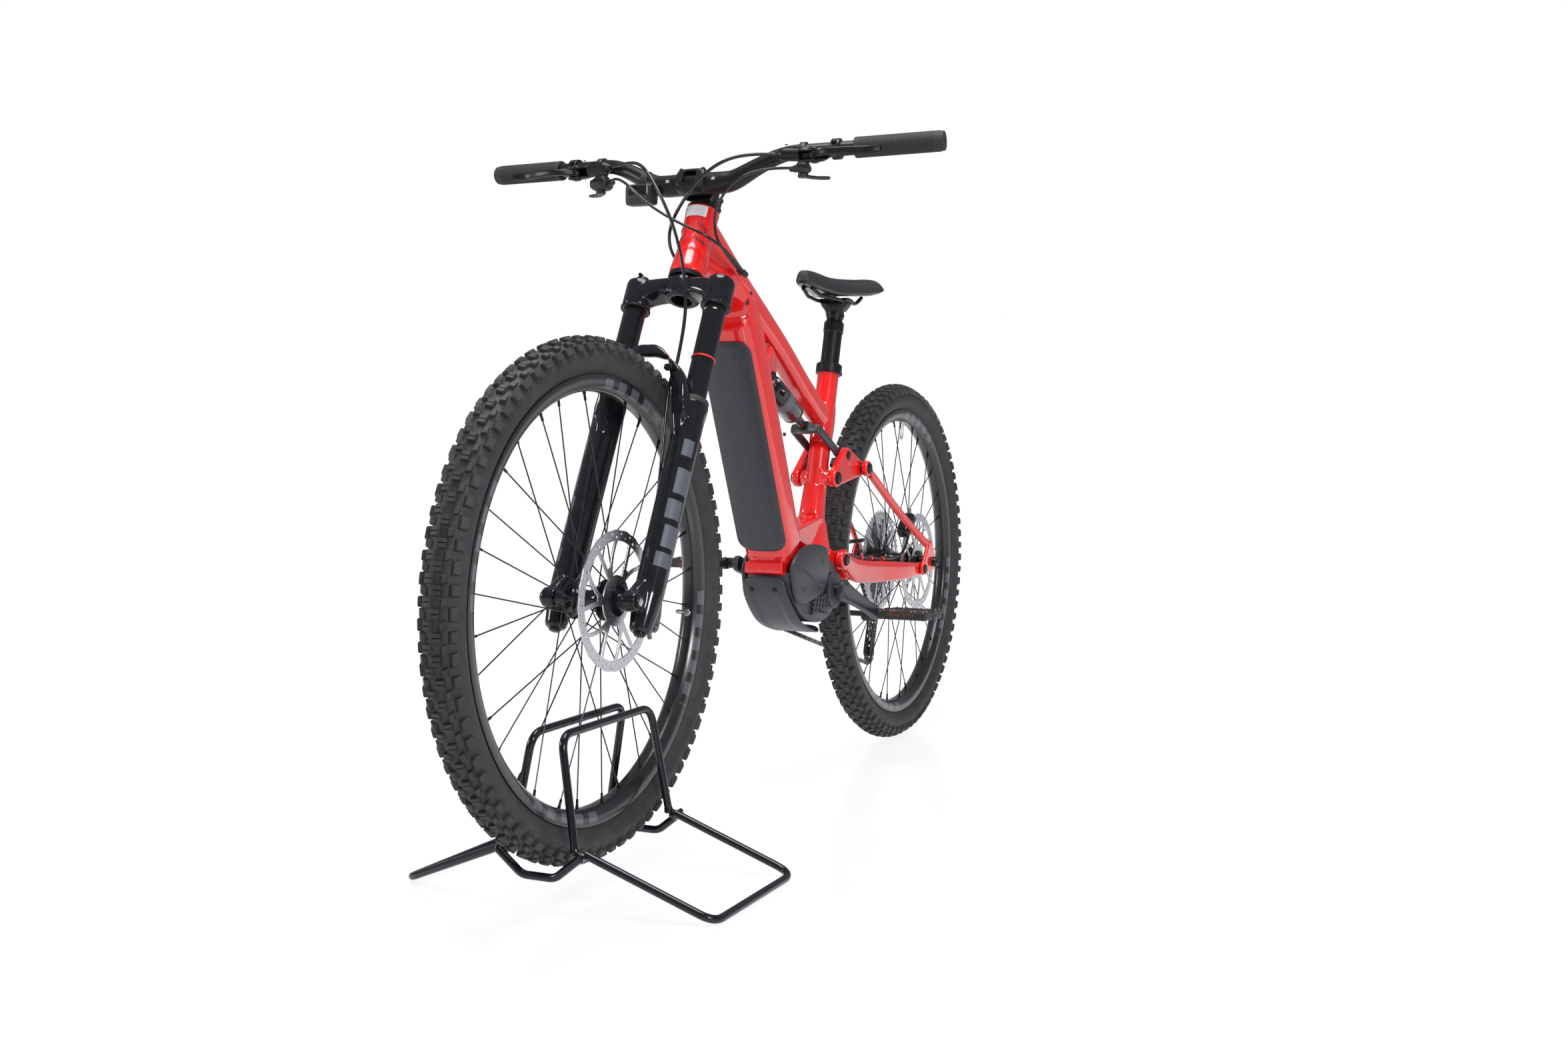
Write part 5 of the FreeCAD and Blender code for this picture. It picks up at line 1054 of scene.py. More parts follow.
def casting():
    """The sliding lower legs with the arch, seals and guides."""
    bm, hollow = bmesh.new(), bmesh.new()
    for side in SIDES:
        lathe(bm, leg(side, 0), STEER, [(13, -592), (16, -588), (19, -566), (22, -536), (22.2, -400),
                                        (22.6, -262), (23.8, -246), (24.4, -233), (23, -231)], 48)
        loft(bm, [(fork(17, side * 66, -520), Y, AHEAD, 24, 40),
                  (fork(34, side * 66, -548), Y, AHEAD, 24, 44),
                  (fork(43, side * 66, -566), Y, AHEAD, 23, 30)], 2.6, 28, 5)
        rod(bm, FRONT + Y * side * 55.4, FRONT + Y * side * 77, 15, 2)
        loft(bm, [(fork(24, side * 66, -290), Y, AHEAD, 14, 22),
                  (fork(26, side * 64, -256), Y, AHEAD, 24, 40),
                  (fork(47, side * 60, -212), Y, AHEAD, 25, 26),
                  (fork(55, side * 44, -178), V(0, 0.8, 0) + STEER * side * -0.6, AHEAD, 23, 19),
                  (fork(58, side * 18, -165), V(0, 0.25, 0) + STEER * side * -0.97, AHEAD, 20, 16),
                  (fork(58, 0, -163.5), V(0, 0.02, 0) - STEER * side, AHEAD, 19, 15)], 3.2, 28, 6)
        loft(bm, [(fork(26, side * 74, -262), Y, AHEAD, 10, 36),
                  (fork(42, side * 66, -216), Y, AHEAD, 9, 30),
                  (fork(52, side * 52, -188), Y, AHEAD, 8, 20)], 3, 20, 4)
        lathe(hollow, leg(side, -525), STEER,
              [(STANCHION_BORE, 0), (STANCHION_BORE, 200), (19.4, 202), (19.4, 303), (24.6, 304),
               (24.6, 350)], 48)
    lathe(hollow, FRONT - Y * 100, Y, [(7.6, 0), (7.6, 200)], 32)
    piece("fork_casting", melt(bm, 1.7, 5, hollow), "fork_lowers", GLOSS, ["fork_lowers"],
          sharp=45)
    seals, details = bmesh.new(), bmesh.new()
    for side in SIDES:
        lathe(seals, leg(side, 0), STEER,
              [(17.6, -232), (23.4, -232), (23.6, -226), (22, -223.4), (19.6, -222), (17.6, -222)], 48,
              closed=True)
        lathe(details, leg(side, -592), -STEER, [(9, -3), (9, 2), (7, 4.6), (3, 5.4)], 28)
    piece("fork_wipers", seals, "fork_lowers", RUBBER)
    box(details, fork(66, 47, -196), (9, 13, 9), (AHEAD, Y, STEER), 1.6)
    hex_head(details, fork(70, 52, -196), AHEAD, 3, 2.6)
    piece("fork_leg_knobs", details, "fork_lowers", BLACK_METAL)


def front_axle():
    """The through axle with its key socket."""
    axle = bmesh.new()
    rod(axle, FRONT - Y * 79, FRONT + Y * 79, 7.5)
    for side in SIDES:
        lathe(axle, FRONT + Y * side * 77.2, Y * side, [(10, 0), (10, 2.6), (8.8, 3.8), (5, 3.8)], 32)
    piece("front_through_axle", axle, "fork_lowers", BLACK_METAL, ["front_axle"])
    key = bmesh.new()
    hex_head(key, FRONT + Y * 80.2, Y, 6.2, 1.2, 0.55)
    piece("front_axle_key", key, "fork_lowers", STEEL)


def plain_blocks():
    """Blank printed patches down the outside of each leg."""
    blocks = bmesh.new()
    for side in SIDES:
        for k, (up, tall) in enumerate(((-296, 26), (-342, 40), (-392, 30), (-432, 34), (-474, 22))):
            wide = 0.55 if k else 0.4
            mid = radians(62 if k % 2 else 52)
            rows = []
            for j in range(4):
                h = up - tall * j / 3
                arc = [mid - wide + 2 * wide * i / 10 for i in range(11)]
                rows.append([leg(side, h) + (AHEAD * cos(a) + Y * side * sin(a)) * 22.45 for a in arc] +
                            [leg(side, h) + (AHEAD * cos(a) + Y * side * sin(a)) * 21.6 for a in arc[::-1]])
            skin(blocks, rows)
    piece("fork_plain_blocks", blocks, "fork_lowers", PRINT_GREY)


crown()
casting()
front_axle()
plain_blocks()


# ---------------------------------------------------------------- brakes
def caliper(name, body, centre, y, turn, outboard):
    """Two-piston caliper with its bridge bolts, pads and banjo."""
    bm, slot = bmesh.new(), bmesh.new()
    low, high = y - 17, y + outboard
    mid = (low + high) / 2
    loft(bm, [(V(-28, mid, 1), Y, Z, high - low - 9, 17), (V(-23, mid, 1), Y, Z, high - low - 2, 25),
              (V(-8, mid, 0), Y, Z, high - low, 29), (V(8, mid, 0), Y, Z, high - low, 29),
              (V(23, mid, 1), Y, Z, high - low - 2, 25), (V(28, mid, 1), Y, Z, high - low - 9, 17)], 4, 28,
         4)
    lathe(bm, V(-2, high - 2.5, -1), Y, [(12, -6), (12, 1), (10.5, 2.4), (6, 2.4)], 32)
    for x in (-20, 20):
        rod(bm, V(x, low + 1, 0), V(x, high - 1, 0), 6.4, 1)
    box(slot, V(0, y, -6), (90, 4.6, 26), edge=0.2)
    body_mesh = melt(bm, 1.2, 3, slot)
    trim = bmesh.new()
    for x in (-20, 20):
        hex_head(trim, V(x, high - 1.2, 0), Y, 4.2, 2.2)
    lathe(trim, V(-26, mid, 8), V(-0.8, 0, 0.6), [(5.2, -4), (5.2, 3), (3.6, 4), (3.6, 11), (2.8, 12)], 20)
    box(trim, V(2, y, 13), (20, 3.8, 6), edge=0.6)
    for k in range(4):
        box(trim, V(-6 + 5 * k, y, 15.2), (2, 3.4, 3), edge=0.4)
    place = Matrix.Translation((centre.x, 0, centre.z)) @ Matrix.Rotation(radians(turn), 4, "Y")
    body_mesh.transform(place)
    trim.transform(place)
    piece(name + "_caliper_body", body_mesh, body, GLOSS, [name + "_caliper"], sharp=50)
    piece(name + "_caliper_trim", trim, body, DARK_STEEL)


caliper("rear", "seatstay", REAR + V(62, 0, 76), 50, 40, 10.5)
caliper("front", "fork_lowers", FRONT + V(-93, 0, -24), 40, -105, 17)


# ---------------------------------------------------------------- drive train
PITCH = 12.7           # chain pitch
COGS = (51, 45, 39, 33, 28, 24, 21, 18, 16, 14, 12, 11)
CHAIN_LINE = 55.0
GUIDE, TENSION = V(-634, -55, 264), V(-604, -55, 176)
CAGE_PIVOT, HANGER = V(-652, -57, 252), V(-634, -79, 330)
CRANK = radial(radians(198))
CRANK_LENGTH = 168.0
RING_TEETH, PULLEY_TEETH, COG_IN_USE = 36, 12, 21


def pitch_radius(teeth):
    """Radius of the rollers round a sprocket."""
    return PITCH / (2 * sin(pi / teeth))


def teeth_outline(at, teeth, phase=0.0):
    """Rounded valleys on the chain's rollers with pointed teeth between."""
    r = pitch_radius(teeth)
    out = []
    for n in range(teeth):
        for share, reach in ((-0.16, -3.2), (0, -3.9), (0.16, -3.2), (0.33, -0.6), (0.44, 2.2), (0.56, 2.2),
                             (0.67, -0.6)):
            a = phase + TAU * (n + share) / teeth
            out.append((at.x + (r + reach) * cos(a), at.z + (r + reach) * sin(a)))
    return out


def sprocket(bm, at, teeth, y, thick, bore, windows=0, phase=0.0, web=10.0):
    """A toothed sheet wheel with a bore and windows."""
    loops = [teeth_outline(at, teeth, phase), circle(at.x, at.z, bore, 40)]
    edge = pitch_radius(teeth) - web
    for n in range(windows):
        a0, a1 = TAU * (n + 0.14) / windows, TAU * (n + 0.86) / windows
        inner = bore + 4
        pts = [(edge, a0 + (a1 - a0) * k / 6)
               for k in range(7)] + [(inner, a1 - (a1 - a0) * (0.12 + 0.76 * k / 5)) for k in range(6)]
        loops.append([(at.x + r * cos(a), at.z + r * sin(a)) for r, a in pts])
    stamped(bm, loops, y, thick, 0.2)


def chain_line():
    """Where the rollers sit: round the ring, the tension and guide pulleys and the cog."""
    stops = [(BB, pitch_radius(RING_TEETH), 1), (TENSION, pitch_radius(PULLEY_TEETH), 1),
             (GUIDE, pitch_radius(PULLEY_TEETH), -1), (REAR, pitch_radius(COG_IN_USE), 1)]
    runs = []
    for (ca, ra, sa), (cb, rb, sb) in zip(stops, stops[1:] + stops[:1]):
        dx, dz = cb.x - ca.x, cb.z - ca.z
        a = atan2(dz, dx) + acos((sa * ra - sb * rb) / hypot(dx, dz))
        runs.append([V(c.x, -CHAIN_LINE, c.z) + radial(a) * s * r for c, s,
                     r in ((ca, sa, ra), (cb, sb, rb))])
    line = []
    for n, (start, end) in enumerate(runs):
        steps = max(2, int((end - start).length / 2))
        line += [(start + (end - start) * k / steps, n) for k in range(steps)]
        centre, radius, sense = stops[(n + 1) % 4]
        after = runs[(n + 1) % 4][0]
        a0 = atan2(end.z - centre.z, end.x - centre.x)
        a1 = atan2(after.z - centre.z, after.x - centre.x)
        sweep = (a1 - a0) % TAU if sense < 0 else -((a0 - a1) % TAU)
        steps = max(3, int(abs(sweep) * radius / 2))
        line += [(V(centre.x, -CHAIN_LINE, centre.z) + radial(a0 + sweep * k / steps) * radius, n + 0.5)
                 for k in range(steps)]
    return line


def rollers():
    """Evenly spaced roller centres, each with the run that it lies on."""
    line = chain_line()
    points = [p for p, _ in line] + [line[0][0]]
    reach = [0.0]
    for a, b in zip(points, points[1:]):
        reach.append(reach[-1] + (b - a).length)
    count = 2 * round(reach[-1] / PITCH / 2)
    out, i = [], 0
    for n in range(count):
        want = reach[-1] * n / count
        while reach[i + 1] < want:
            i += 1
        t = (want - reach[i]) / (reach[i + 1] - reach[i])
        out.append((points[i].lerp(points[i + 1], t), line[i][1]))
    return out


def link(bm, a, b, outer):
    """One pair of figure-eight plates with a roller and a pin."""
    along = (b - a).normalized()
    up = turned(along)
    reach = (b - a).length
    outline = []
    for end, start, waist in ((a, pi / 2, -up), (b, -pi / 2, up)):
        for t in (start + pi * k / 8 for k in range(9)):
            outline.append(end + (along * cos(t) + up * sin(t)) * 4.1)
        outline.append(a + along * reach * 0.5 + waist * 2.9)
    for side in SIDES:
        near = (1.75 if outer else 0.95) * side
        skin(bm, [[p + Y * near for p in outline], [p + Y * (near + 0.72 * side) for p in outline]])
    radius, length = (1.8, 5.3) if outer else (3.7, 1.8)
    lathe(bm, a - Y * length / 2, Y, [(radius, 0), (radius, length)], 10)


def chain():
    """All links in four groups."""
    groups = {"front": bmesh.new(), "lower": bmesh.new(), "rear": bmesh.new(), "cage": bmesh.new()}
    nodes = rollers()
    for n, (a, where) in enumerate(nodes):
        b = nodes[(n + 1) % len(nodes)][0]
        if where in (0.5, 1, 1.5) or (where == 0 and a.x < -520) or (where == 2 and a.z < 330):
            group = "cage"
        elif where == 0 and a.x < -430:
            group = "lower"
        elif where in (2, 2.5) or (where == 3 and a.x < -500):
            group = "rear"
        else:
            group = "front"
        link(groups[group], a, b, n % 2 == 0)
    ends = {"front": ("frame", "chainstay", V(-250, 0, 360), V(-410, 0, 360)),
            "lower": ("chainstay", "seatstay", V(-450, 0, 230), V(-512, 0, 220)),
            "rear": ("chainstay", "seatstay", V(-500, 0, 400), V(-560, 0, 400)),
            "cage": ("seatstay", "derailleur_cage", V(-540, 0, 330), V(-600, 0, 262))}
    for name, (one, two, start, end) in ends.items():
        obj = piece("chain_" + name, groups[name], None, DARK_STEEL,
                    ["chain"] if name == "front" else ())
        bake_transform(obj)


def cassette():
    """Twelve cogs on their core, largest inboard."""
    cogs = bmesh.new()
    first = -CHAIN_LINE + 21
    for n, teeth in enumerate(COGS):
        sprocket(cogs, REAR, teeth, first - n * 3.5, 1.75, 17.6 if n > 8 else 20.5, 10 if n < 6 else 0,
                 0.13 * n, 12.0)
    piece("cassette_cogs", cogs, "cassette", STEEL, ["cassette"], sharp=30)
    core = bmesh.new()
    lathe(core, REAR, Y, [(7, -29.4), (22, -29.4), (22, first + 2), (20.2, first), (20.2, first - 28),
                          (17.4, first - 29), (17.4, -73), (12, -73.4), (7, -73.4)], 40, closed=True)
    for n in range(5):
        a = TAU * n / 5
        box(core, REAR + radial(a) * 33 + Y * (first + 1.4), (26, 2.4, 7), (radial(a), Y, tangent(a)), 0.8)
    piece("cassette_core", core, "cassette", BLACK_METAL)


def cranks():
    """Chainring, both crank arms and the spindle."""
    big = bmesh.new()
    sprocket(big, BB, RING_TEETH, -CHAIN_LINE, 2.4, 30, 5, 0.06, 14.0)
    piece("chainring_toothed", big, "crankset", BLACK_METAL, ["chainring"], sharp=30)
    arms, trim = bmesh.new(), bmesh.new()
    for side in SIDES:
        along = CRANK * side
        across = turned(along)
        tip = BB + along * CRANK_LENGTH
        # distance from the bottom bracket, width and thickness
        steps = ((-21, 16, 12), (-17, 28, 13.6), (0, 42, 14), (22, 35, 14), (70, 29, 13.4), (130, 26, 13),
                 (CRANK_LENGTH, 29, 13.4), (CRANK_LENGTH + 11, 21, 12.6), (CRANK_LENGTH + 14.5, 12, 11.6))
        loft(arms, [(BB + Y * side * 69 + along * reach, across, Y, w, t) for reach, w, t in steps], 3.4,
             28, 4)
        lathe(trim, BB + Y * side * 73.5, Y * side,
              [(14, 0), (14, 1.8), (12.6, 2.4), (8.4, 2.4), (8, -1.6), (3, -2)], 40)
        lathe(trim, tip + Y * side * 61.6, Y * side, [(3, 0), (5, 0.2), (5, 3)], 20)
        rod(trim, tip + Y * side * 62, tip + Y * side * 183, 4.9)
        ring(trim, tip, Y * side, 76, 88, 5, 8, 1)
    rod(trim, BB - Y * 70, BB + Y * 72, 12)
    ring(trim, BB, Y, -62, -56.4, 12, 29, 1)
    piece("crank_arms", arms, "crankset", CRANK_GREY, ["crank_left", "crank_right"])
    piece("crank_spindles", trim, "crankset", BLACK_METAL)


def pedals():
    """Platform pedals with pins and amber reflectors."""
    for side, name in ((1, "left"), (-1, "right")):
        tip = BB + CRANK * side * CRANK_LENGTH
        cage, pins, lens = bmesh.new(), bmesh.new(), bmesh.new()
        loft(cage, [(tip + Y * side * y, X, Z, w, t) for y, w,
                    t in ((90.4, 26, 19), (97, 26, 20), (150, 21, 19), (189, 23, 18))], 3, 24, 3)
        for x in (-46.5, 46.5):
            box(cage, tip + V(x, side * 140.25, 0), (7, 97, 15), edge=1.6)
        for y in (94, 137, 186):
            box(cage, tip + V(0, side * y, 0), (94, 7, 15), edge=1.8)
        for y in (115, 162):
            for x in (-27, 27):
                box(cage, tip + V(x, side * y, 0), (5, 42, 9), edge=1.2)
        for x in (-46.5, -27, 27, 46.5):
            for y in (97, 118, 160, 183):
                for z in SIDES:
                    lathe(pins, tip + V(x, side * y, 4 * z), Z * z, [(1.7, 0), (1.7, 4.6), (1.2, 5.4)], 8)
        for x in SIDES:
            box(lens, tip + V(x * 48.4, side * 139, 0), (3.0, 56, 9.4), edge=0.8)
            for k in range(14):
                box(lens, tip + V(x * 49.7, side * (114 + 3.8 * k), 0), (0.6, 1.5, 8), edge=0.15)
        ring(cage, tip, Y * side, 189, 190.6, 2, 9, 0.6, 28)
        piece("pedal_" + name + "_cage", cage, "pedal_" + name, PLASTIC, ["pedal_" + name])
        piece("pedal_" + name + "_pins", pins, "pedal_" + name, STEEL)
        piece("pedal_" + name + "_reflectors", lens, "pedal_" + name, AMBER)


def pulleys():
    """The two jockey wheels of the cage."""
    for name, at, phase in (("guide_pulley", GUIDE, 0.1), ("tension_pulley", TENSION, 0.2)):
        wheel_mesh = bmesh.new()
        sprocket(wheel_mesh, at, PULLEY_TEETH, at.y, 2.3, 6, 5, phase, 9.0)
        ring(wheel_mesh, at, Y, -4, 4, 4.1, 8.2, 0.5, 32)
        piece(name + "_toothed", wheel_mesh, name, PLASTIC, [name], sharp=30)


def derailleur():
    """Hanger, body, cage plates and the pulleys' bolts."""
    body = bmesh.new()
    prism(body, strap_outline([(REAR.x, REAR.z, 15), (HANGER.x, HANGER.z, 10)]), -89.6, -84.6, 1)
    loft(body, [(HANGER, X, Y, 20, 16), (V(-652, -82, 312), X, Y, 22, 22),
                (V(-668, -80, 290), X, Y, 21, 24), (V(-664, -76, 270), X, Y, 24, 24),
                (CAGE_PIVOT - Y * 19, X, Y, 28, 24)], 3, 28, 5)
    lathe(body, CAGE_PIVOT, -Y, [(14, 6), (16, 9), (16, 28), (14.4, 31), (9, 32)], 40)
    lathe(body, HANGER + Y * -84, -Y, [(9.6, 0), (9.6, 10), (8, 13), (4, 13.6)], 28)
    rod(body, V(-672, -80, 296), V(-690, -78, 306), 5, 1)
    piece("derailleur_linkage", melt(body, 1.3, 4), "seatstay", BLACK_METAL,
          ["derailleur_body"], sharp=50)
    cage = bmesh.new()
    discs = [(GUIDE.x, GUIDE.z, 11), (TENSION.x, TENSION.z, 11)]
    mid = ((GUIDE.x + TENSION.x) / 2, (GUIDE.z + TENSION.z) / 2)
    openings = [circle(mid[0] + dx, mid[1] + dz, 4.2, 16) for dx, dz in ((-6, 18), (-1, 3), (4, -12))]
    for y in (-61.6, -48.6):
        stamped(cage, [strap_outline(discs, 14)] + openings, y, 1.8, 0.3)
    stamped(cage, [strap_outline([(CAGE_PIVOT.x, CAGE_PIVOT.z, 12), (GUIDE.x, GUIDE.z, 11)], 14)], -61.6,
            1.8, 0.3)
    rod(cage, CAGE_PIVOT - Y * 84, CAGE_PIVOT - Y * 3.6, 5.9)
    for at in (GUIDE, TENSION):
        rod(cage, V(at.x, -62, at.z), V(at.x, -48, at.z), 3.9)
        hex_head(cage, V(at.x, -62.2, at.z), -Y, 5, 1.8)
        hex_head(cage, V(at.x, -48, at.z), Y, 5, 1.4)
    piece("derailleur_cage_plates", cage, "derailleur_cage", BLACK_METAL,
          ["derailleur_cage"], sharp=30)


for build in (cassette, cranks, pedals, pulleys, derailleur, chain):
    build()

# ---------------------------------------------------------------- cockpit
BAR = fork(42, 0, 144)
GRIP_IN, BAR_END = V(BAR.x - 14, 158, BAR.z + 41), V(BAR.x - 42, 394, BAR.z + 47)
GRIP = (BAR_END - GRIP_IN).normalized()


def on_bar(y):
    """A point on the straight grip end of the bar."""
    return GRIP_IN + GRIP * ((y - GRIP_IN.y) / GRIP.y)


LEVER = V(on_bar(214).x + 34, 210, on_bar(214).z - 14)
SHIFT, DROP = on_bar(178), on_bar(180)


def handlebar():
    """The bent bar with its scale marks."""
    bar = bmesh.new()
    half = [V(BAR.x, 0, BAR.z), V(BAR.x, 30, BAR.z), V(BAR.x, 52, BAR.z), V(BAR.x - 1, 72, BAR.z + 4),
            V(BAR.x - 5, 106, BAR.z + 21), V(BAR.x - 10, 138, BAR.z + 35),
            V(BAR.x - 15, 166, BAR.z + 41.4)] + [on_bar(y) for y in (200, 260, 330, 392)]
    radii = [17.4, 17.4, 17.2, 15.6, 13.2, 11.8, 11.2, 11.1, 11.1, 11.1, 11.1]
    full = [V(p.x, -p.y, p.z) for p in half[:0:-1]] + half
    tube(bar, full, radii[:0:-1] + radii, 36, 5)
    piece("handlebar_tube", bar, "steering", BLACK_METAL, ["handlebar"], sharp=60)
    scale_marks = bmesh.new()
    for side in SIDES:
        for k in range(4):
            a = radians(-16 + 4 * k)
            out = AHEAD * cos(a) + STEER * sin(a)
            box(scale_marks, BAR + Y * side * (40 + 0.8 * (k % 2)) + out * 17.35,
                (0.4, 4 if k % 2 else 7, 0.7), (out, Y, out.cross(Y)), 0.1)
    piece("bar_scale_marks", scale_marks, "steering", PRINT_WHITE)


def stem_parts():
    """Stem block, faceplate, cap and bolts."""
    stem, bore = bmesh.new(), bmesh.new()
    lathe(stem, fork(0, 0, 0), STEER, [(18, 128), (19.4, 129.5), (19.4, 160.5), (18, 162)], 48)
    loft(stem, [(fork(2, 0, 145), Y, STEER, 38, 33), (fork(15, 0, 144), Y, STEER, 40, 31),
                (fork(25, 0, 144), Y, STEER, 54, 38)], 4, 32, 4)
    rod(bore, BAR - Y * 60, BAR + Y * 60, 17.55)
    rod(bore, fork(0, 0, 100), fork(0, 0, 180), 14.5)
    for side in SIDES:
        box(stem, fork(-20, side * 9, 145), (14, 14, 28), (AHEAD, Y, STEER), 3)
    piece("stem_block", melt(stem, 1.2, 3, bore), "steering", BLACK_METAL, ["stem"],
          sharp=50)
    front, bore2 = bmesh.new(), bmesh.new()
    loft(front, [(fork(43.5, 0, 144), Y, STEER, 54, 42), (fork(54, 0, 144), Y, STEER, 54, 40),
                 (fork(62, 0, 144), Y, STEER, 50, 32), (fork(64, 0, 144), Y, STEER, 44, 24)], 4, 32, 4)
    rod(bore2, BAR - Y * 60, BAR + Y * 60, 17.55)
    box(bore2, fork(62, 0, 144), (24, 22, 22), (AHEAD, Y, STEER), 2)
    face = melt(front, 1.1, 3, bore2)
    for side in SIDES:
        for up in (19, -19):
            hex_head(face, fork(57, side * 19, 144 + up * 0.78), AHEAD, 4.2, 4.6)
        hex_head(face, fork(40, side * 18, 144 + 18.6), STEER, 4.6, 5)
    piece("stem_faceplate", face, "steering", BLACK_METAL, sharp=40)
    top = bmesh.new()
    lathe(top, fork(0, 0, 0), STEER, [(17.5, 162), (18.2, 163.4), (17.6, 166.4), (14, 168)], 48)
    hex_head(top, fork(0, 0, 168), STEER, 5, 2)
    lathe(top, fork(0, 0, 0), STEER, [(18.4, 125.5), (18.4, 128)], 48)
    for side in SIDES:
        rod(top, fork(-20, -14, 145 + side * 9), fork(-20, 15, 145 + side * 9), 3.2)
        hex_head(top, fork(-20, 14, 145 + side * 9), Y, 4.6, 4.4)
    piece("stem_cap_and_bolts", top, "steering", BLACK_METAL)


def ribbed_grips():
    """Rubber grips with fine ribs, one profile turned on each end."""
    grips = bmesh.new()
    start = BAR_END - GRIP * 134
    profile = [(11.2, 0), (15.2, 0), (16, 1.4), (16, 5)]
    for k in range(47):
        h = 6 + 2.5 * k
        profile += [(15.9, h), (15.9, h + 1.35), (15.3, h + 1.7), (15.3, h + 2.2)]
    profile += [(15.9, 125), (15.9, 130), (15.4, 132), (15.0, 132.4), (14.8, 137), (13.8, 138), (6, 138),
                (5.4, 136), (1, 136), (1, 10), (11.2, 9)]
    lathe(grips, start, GRIP, profile, 48, closed=True)
    mirrored(grips)
    piece("grips_ribbed", grips, "steering", RUBBER, ["handlebar_grips"], sharp=30)


def brake_levers():
    """Master cylinders with their clamps, and the two blades."""
    brake, cut = bmesh.new(), bmesh.new()
    seat = on_bar(232)
    lathe(brake, seat - GRIP * 7.5, GRIP, [(15, 0), (16, 1), (16, 14), (15, 15)], 40)
    loft(brake, [(seat + V(8, 0, -2), V(0.2, 1, 0), Z, 14, 18),
                 (seat + V(20, -6, -8), V(0.2, 1, 0), Z, 15, 19), (V(LEVER.x, 218, LEVER.z), Y, Z, 18, 21)],
         3, 24, 4)
    lathe(brake, V(LEVER.x - 2, 146, LEVER.z + 6), V(-2, 80, -5).normalized(),
          [(5.2, -1), (5.6, 3), (8.6, 6), (10.2, 12), (10.6, 40), (11.6, 44), (11.6, 60), (10, 78),
           (8, 80.5)], 36)
    loft(brake, [(V(LEVER.x - 3, 158, LEVER.z + 13), Y, X, 12, 13),
                 (V(LEVER.x - 3, 170, LEVER.z + 15), Y, X, 14, 17),
                 (V(LEVER.x - 4, 204, LEVER.z + 12), Y, X, 14, 16)], 3.4, 24, 4)
    loft(brake, [(V(LEVER.x - 8, 199, LEVER.z), Y, Z, 12, 20),
                 (V(LEVER.x - 8, 224, LEVER.z), Y, Z, 12, 20)], 4, 24, 2)
    for s in SIDES:
        lathe(brake, LEVER + Z * s * 6.6, Z * s, [(8.4, 0), (8.4, 3), (7, 4.6)], 32)
    box(cut, LEVER + V(14, 12, 0), (46, 72, 12.6), edge=0.3)
    rod(cut, seat - GRIP * 40, seat + GRIP * 40, 11.2)
    body = melt(brake, 1.1, 3, cut)
    lathe(body, LEVER - Z * 12, Z, [(3, 0), (3, 24)], 24)
    hex_head(body, LEVER + Z * 11, Z, 4.6, 2)
    hex_head(body, seat + V(14, 0, 9), V(0.6, 0, 0.8), 4, 3)
    for y in (162, 196):
        hex_head(body, V(LEVER.x - 3, y, LEVER.z + 19.4), Z, 2.2, 1.2)
    mirrored(body)
    piece("brake_master_cylinders", body, "steering", BLACK_METAL, ["brake_bodies"],
          sharp=50)

    for side, name in ((1, "left"), (-1, "right")):
        blade = bmesh.new()
        ring(blade, LEVER, Z, -5.4, 5.4, 3.2, 7.6, 0.8, 32)
        path = [V(LEVER.x + 5, 215, LEVER.z), V(LEVER.x + 17, 228, LEVER.z),
                V(LEVER.x + 21.6, 244, LEVER.z), V(LEVER.x + 18, 270, LEVER.z),
                V(LEVER.x + 10, 294, LEVER.z), V(LEVER.x + 9.4, 308, LEVER.z),
                V(LEVER.x + 13, 322, LEVER.z)]
        rows = []
        for i, p in enumerate(path):
            ahead = (path[min(i + 1, 6)] - path[max(i - 1, 0)]).normalized()
            rows.append((p, V(ahead.y, -ahead.x, 0), Z, (9, 8, 6.4, 5.4, 5.2, 5.4, 4.6)[i],
                         (9.4, 9.6, 10.4, 12, 12.6, 12.6, 10)[i]))
        loft(blade, rows, 3, 24, 6)
        blade.transform(Matrix.Diagonal((1, side, 1, 1)))
        piece("brake_blade_" + name, blade, "brake_lever_" + name, BLACK_METAL,
              ["brake_lever_" + name], sharp=50)


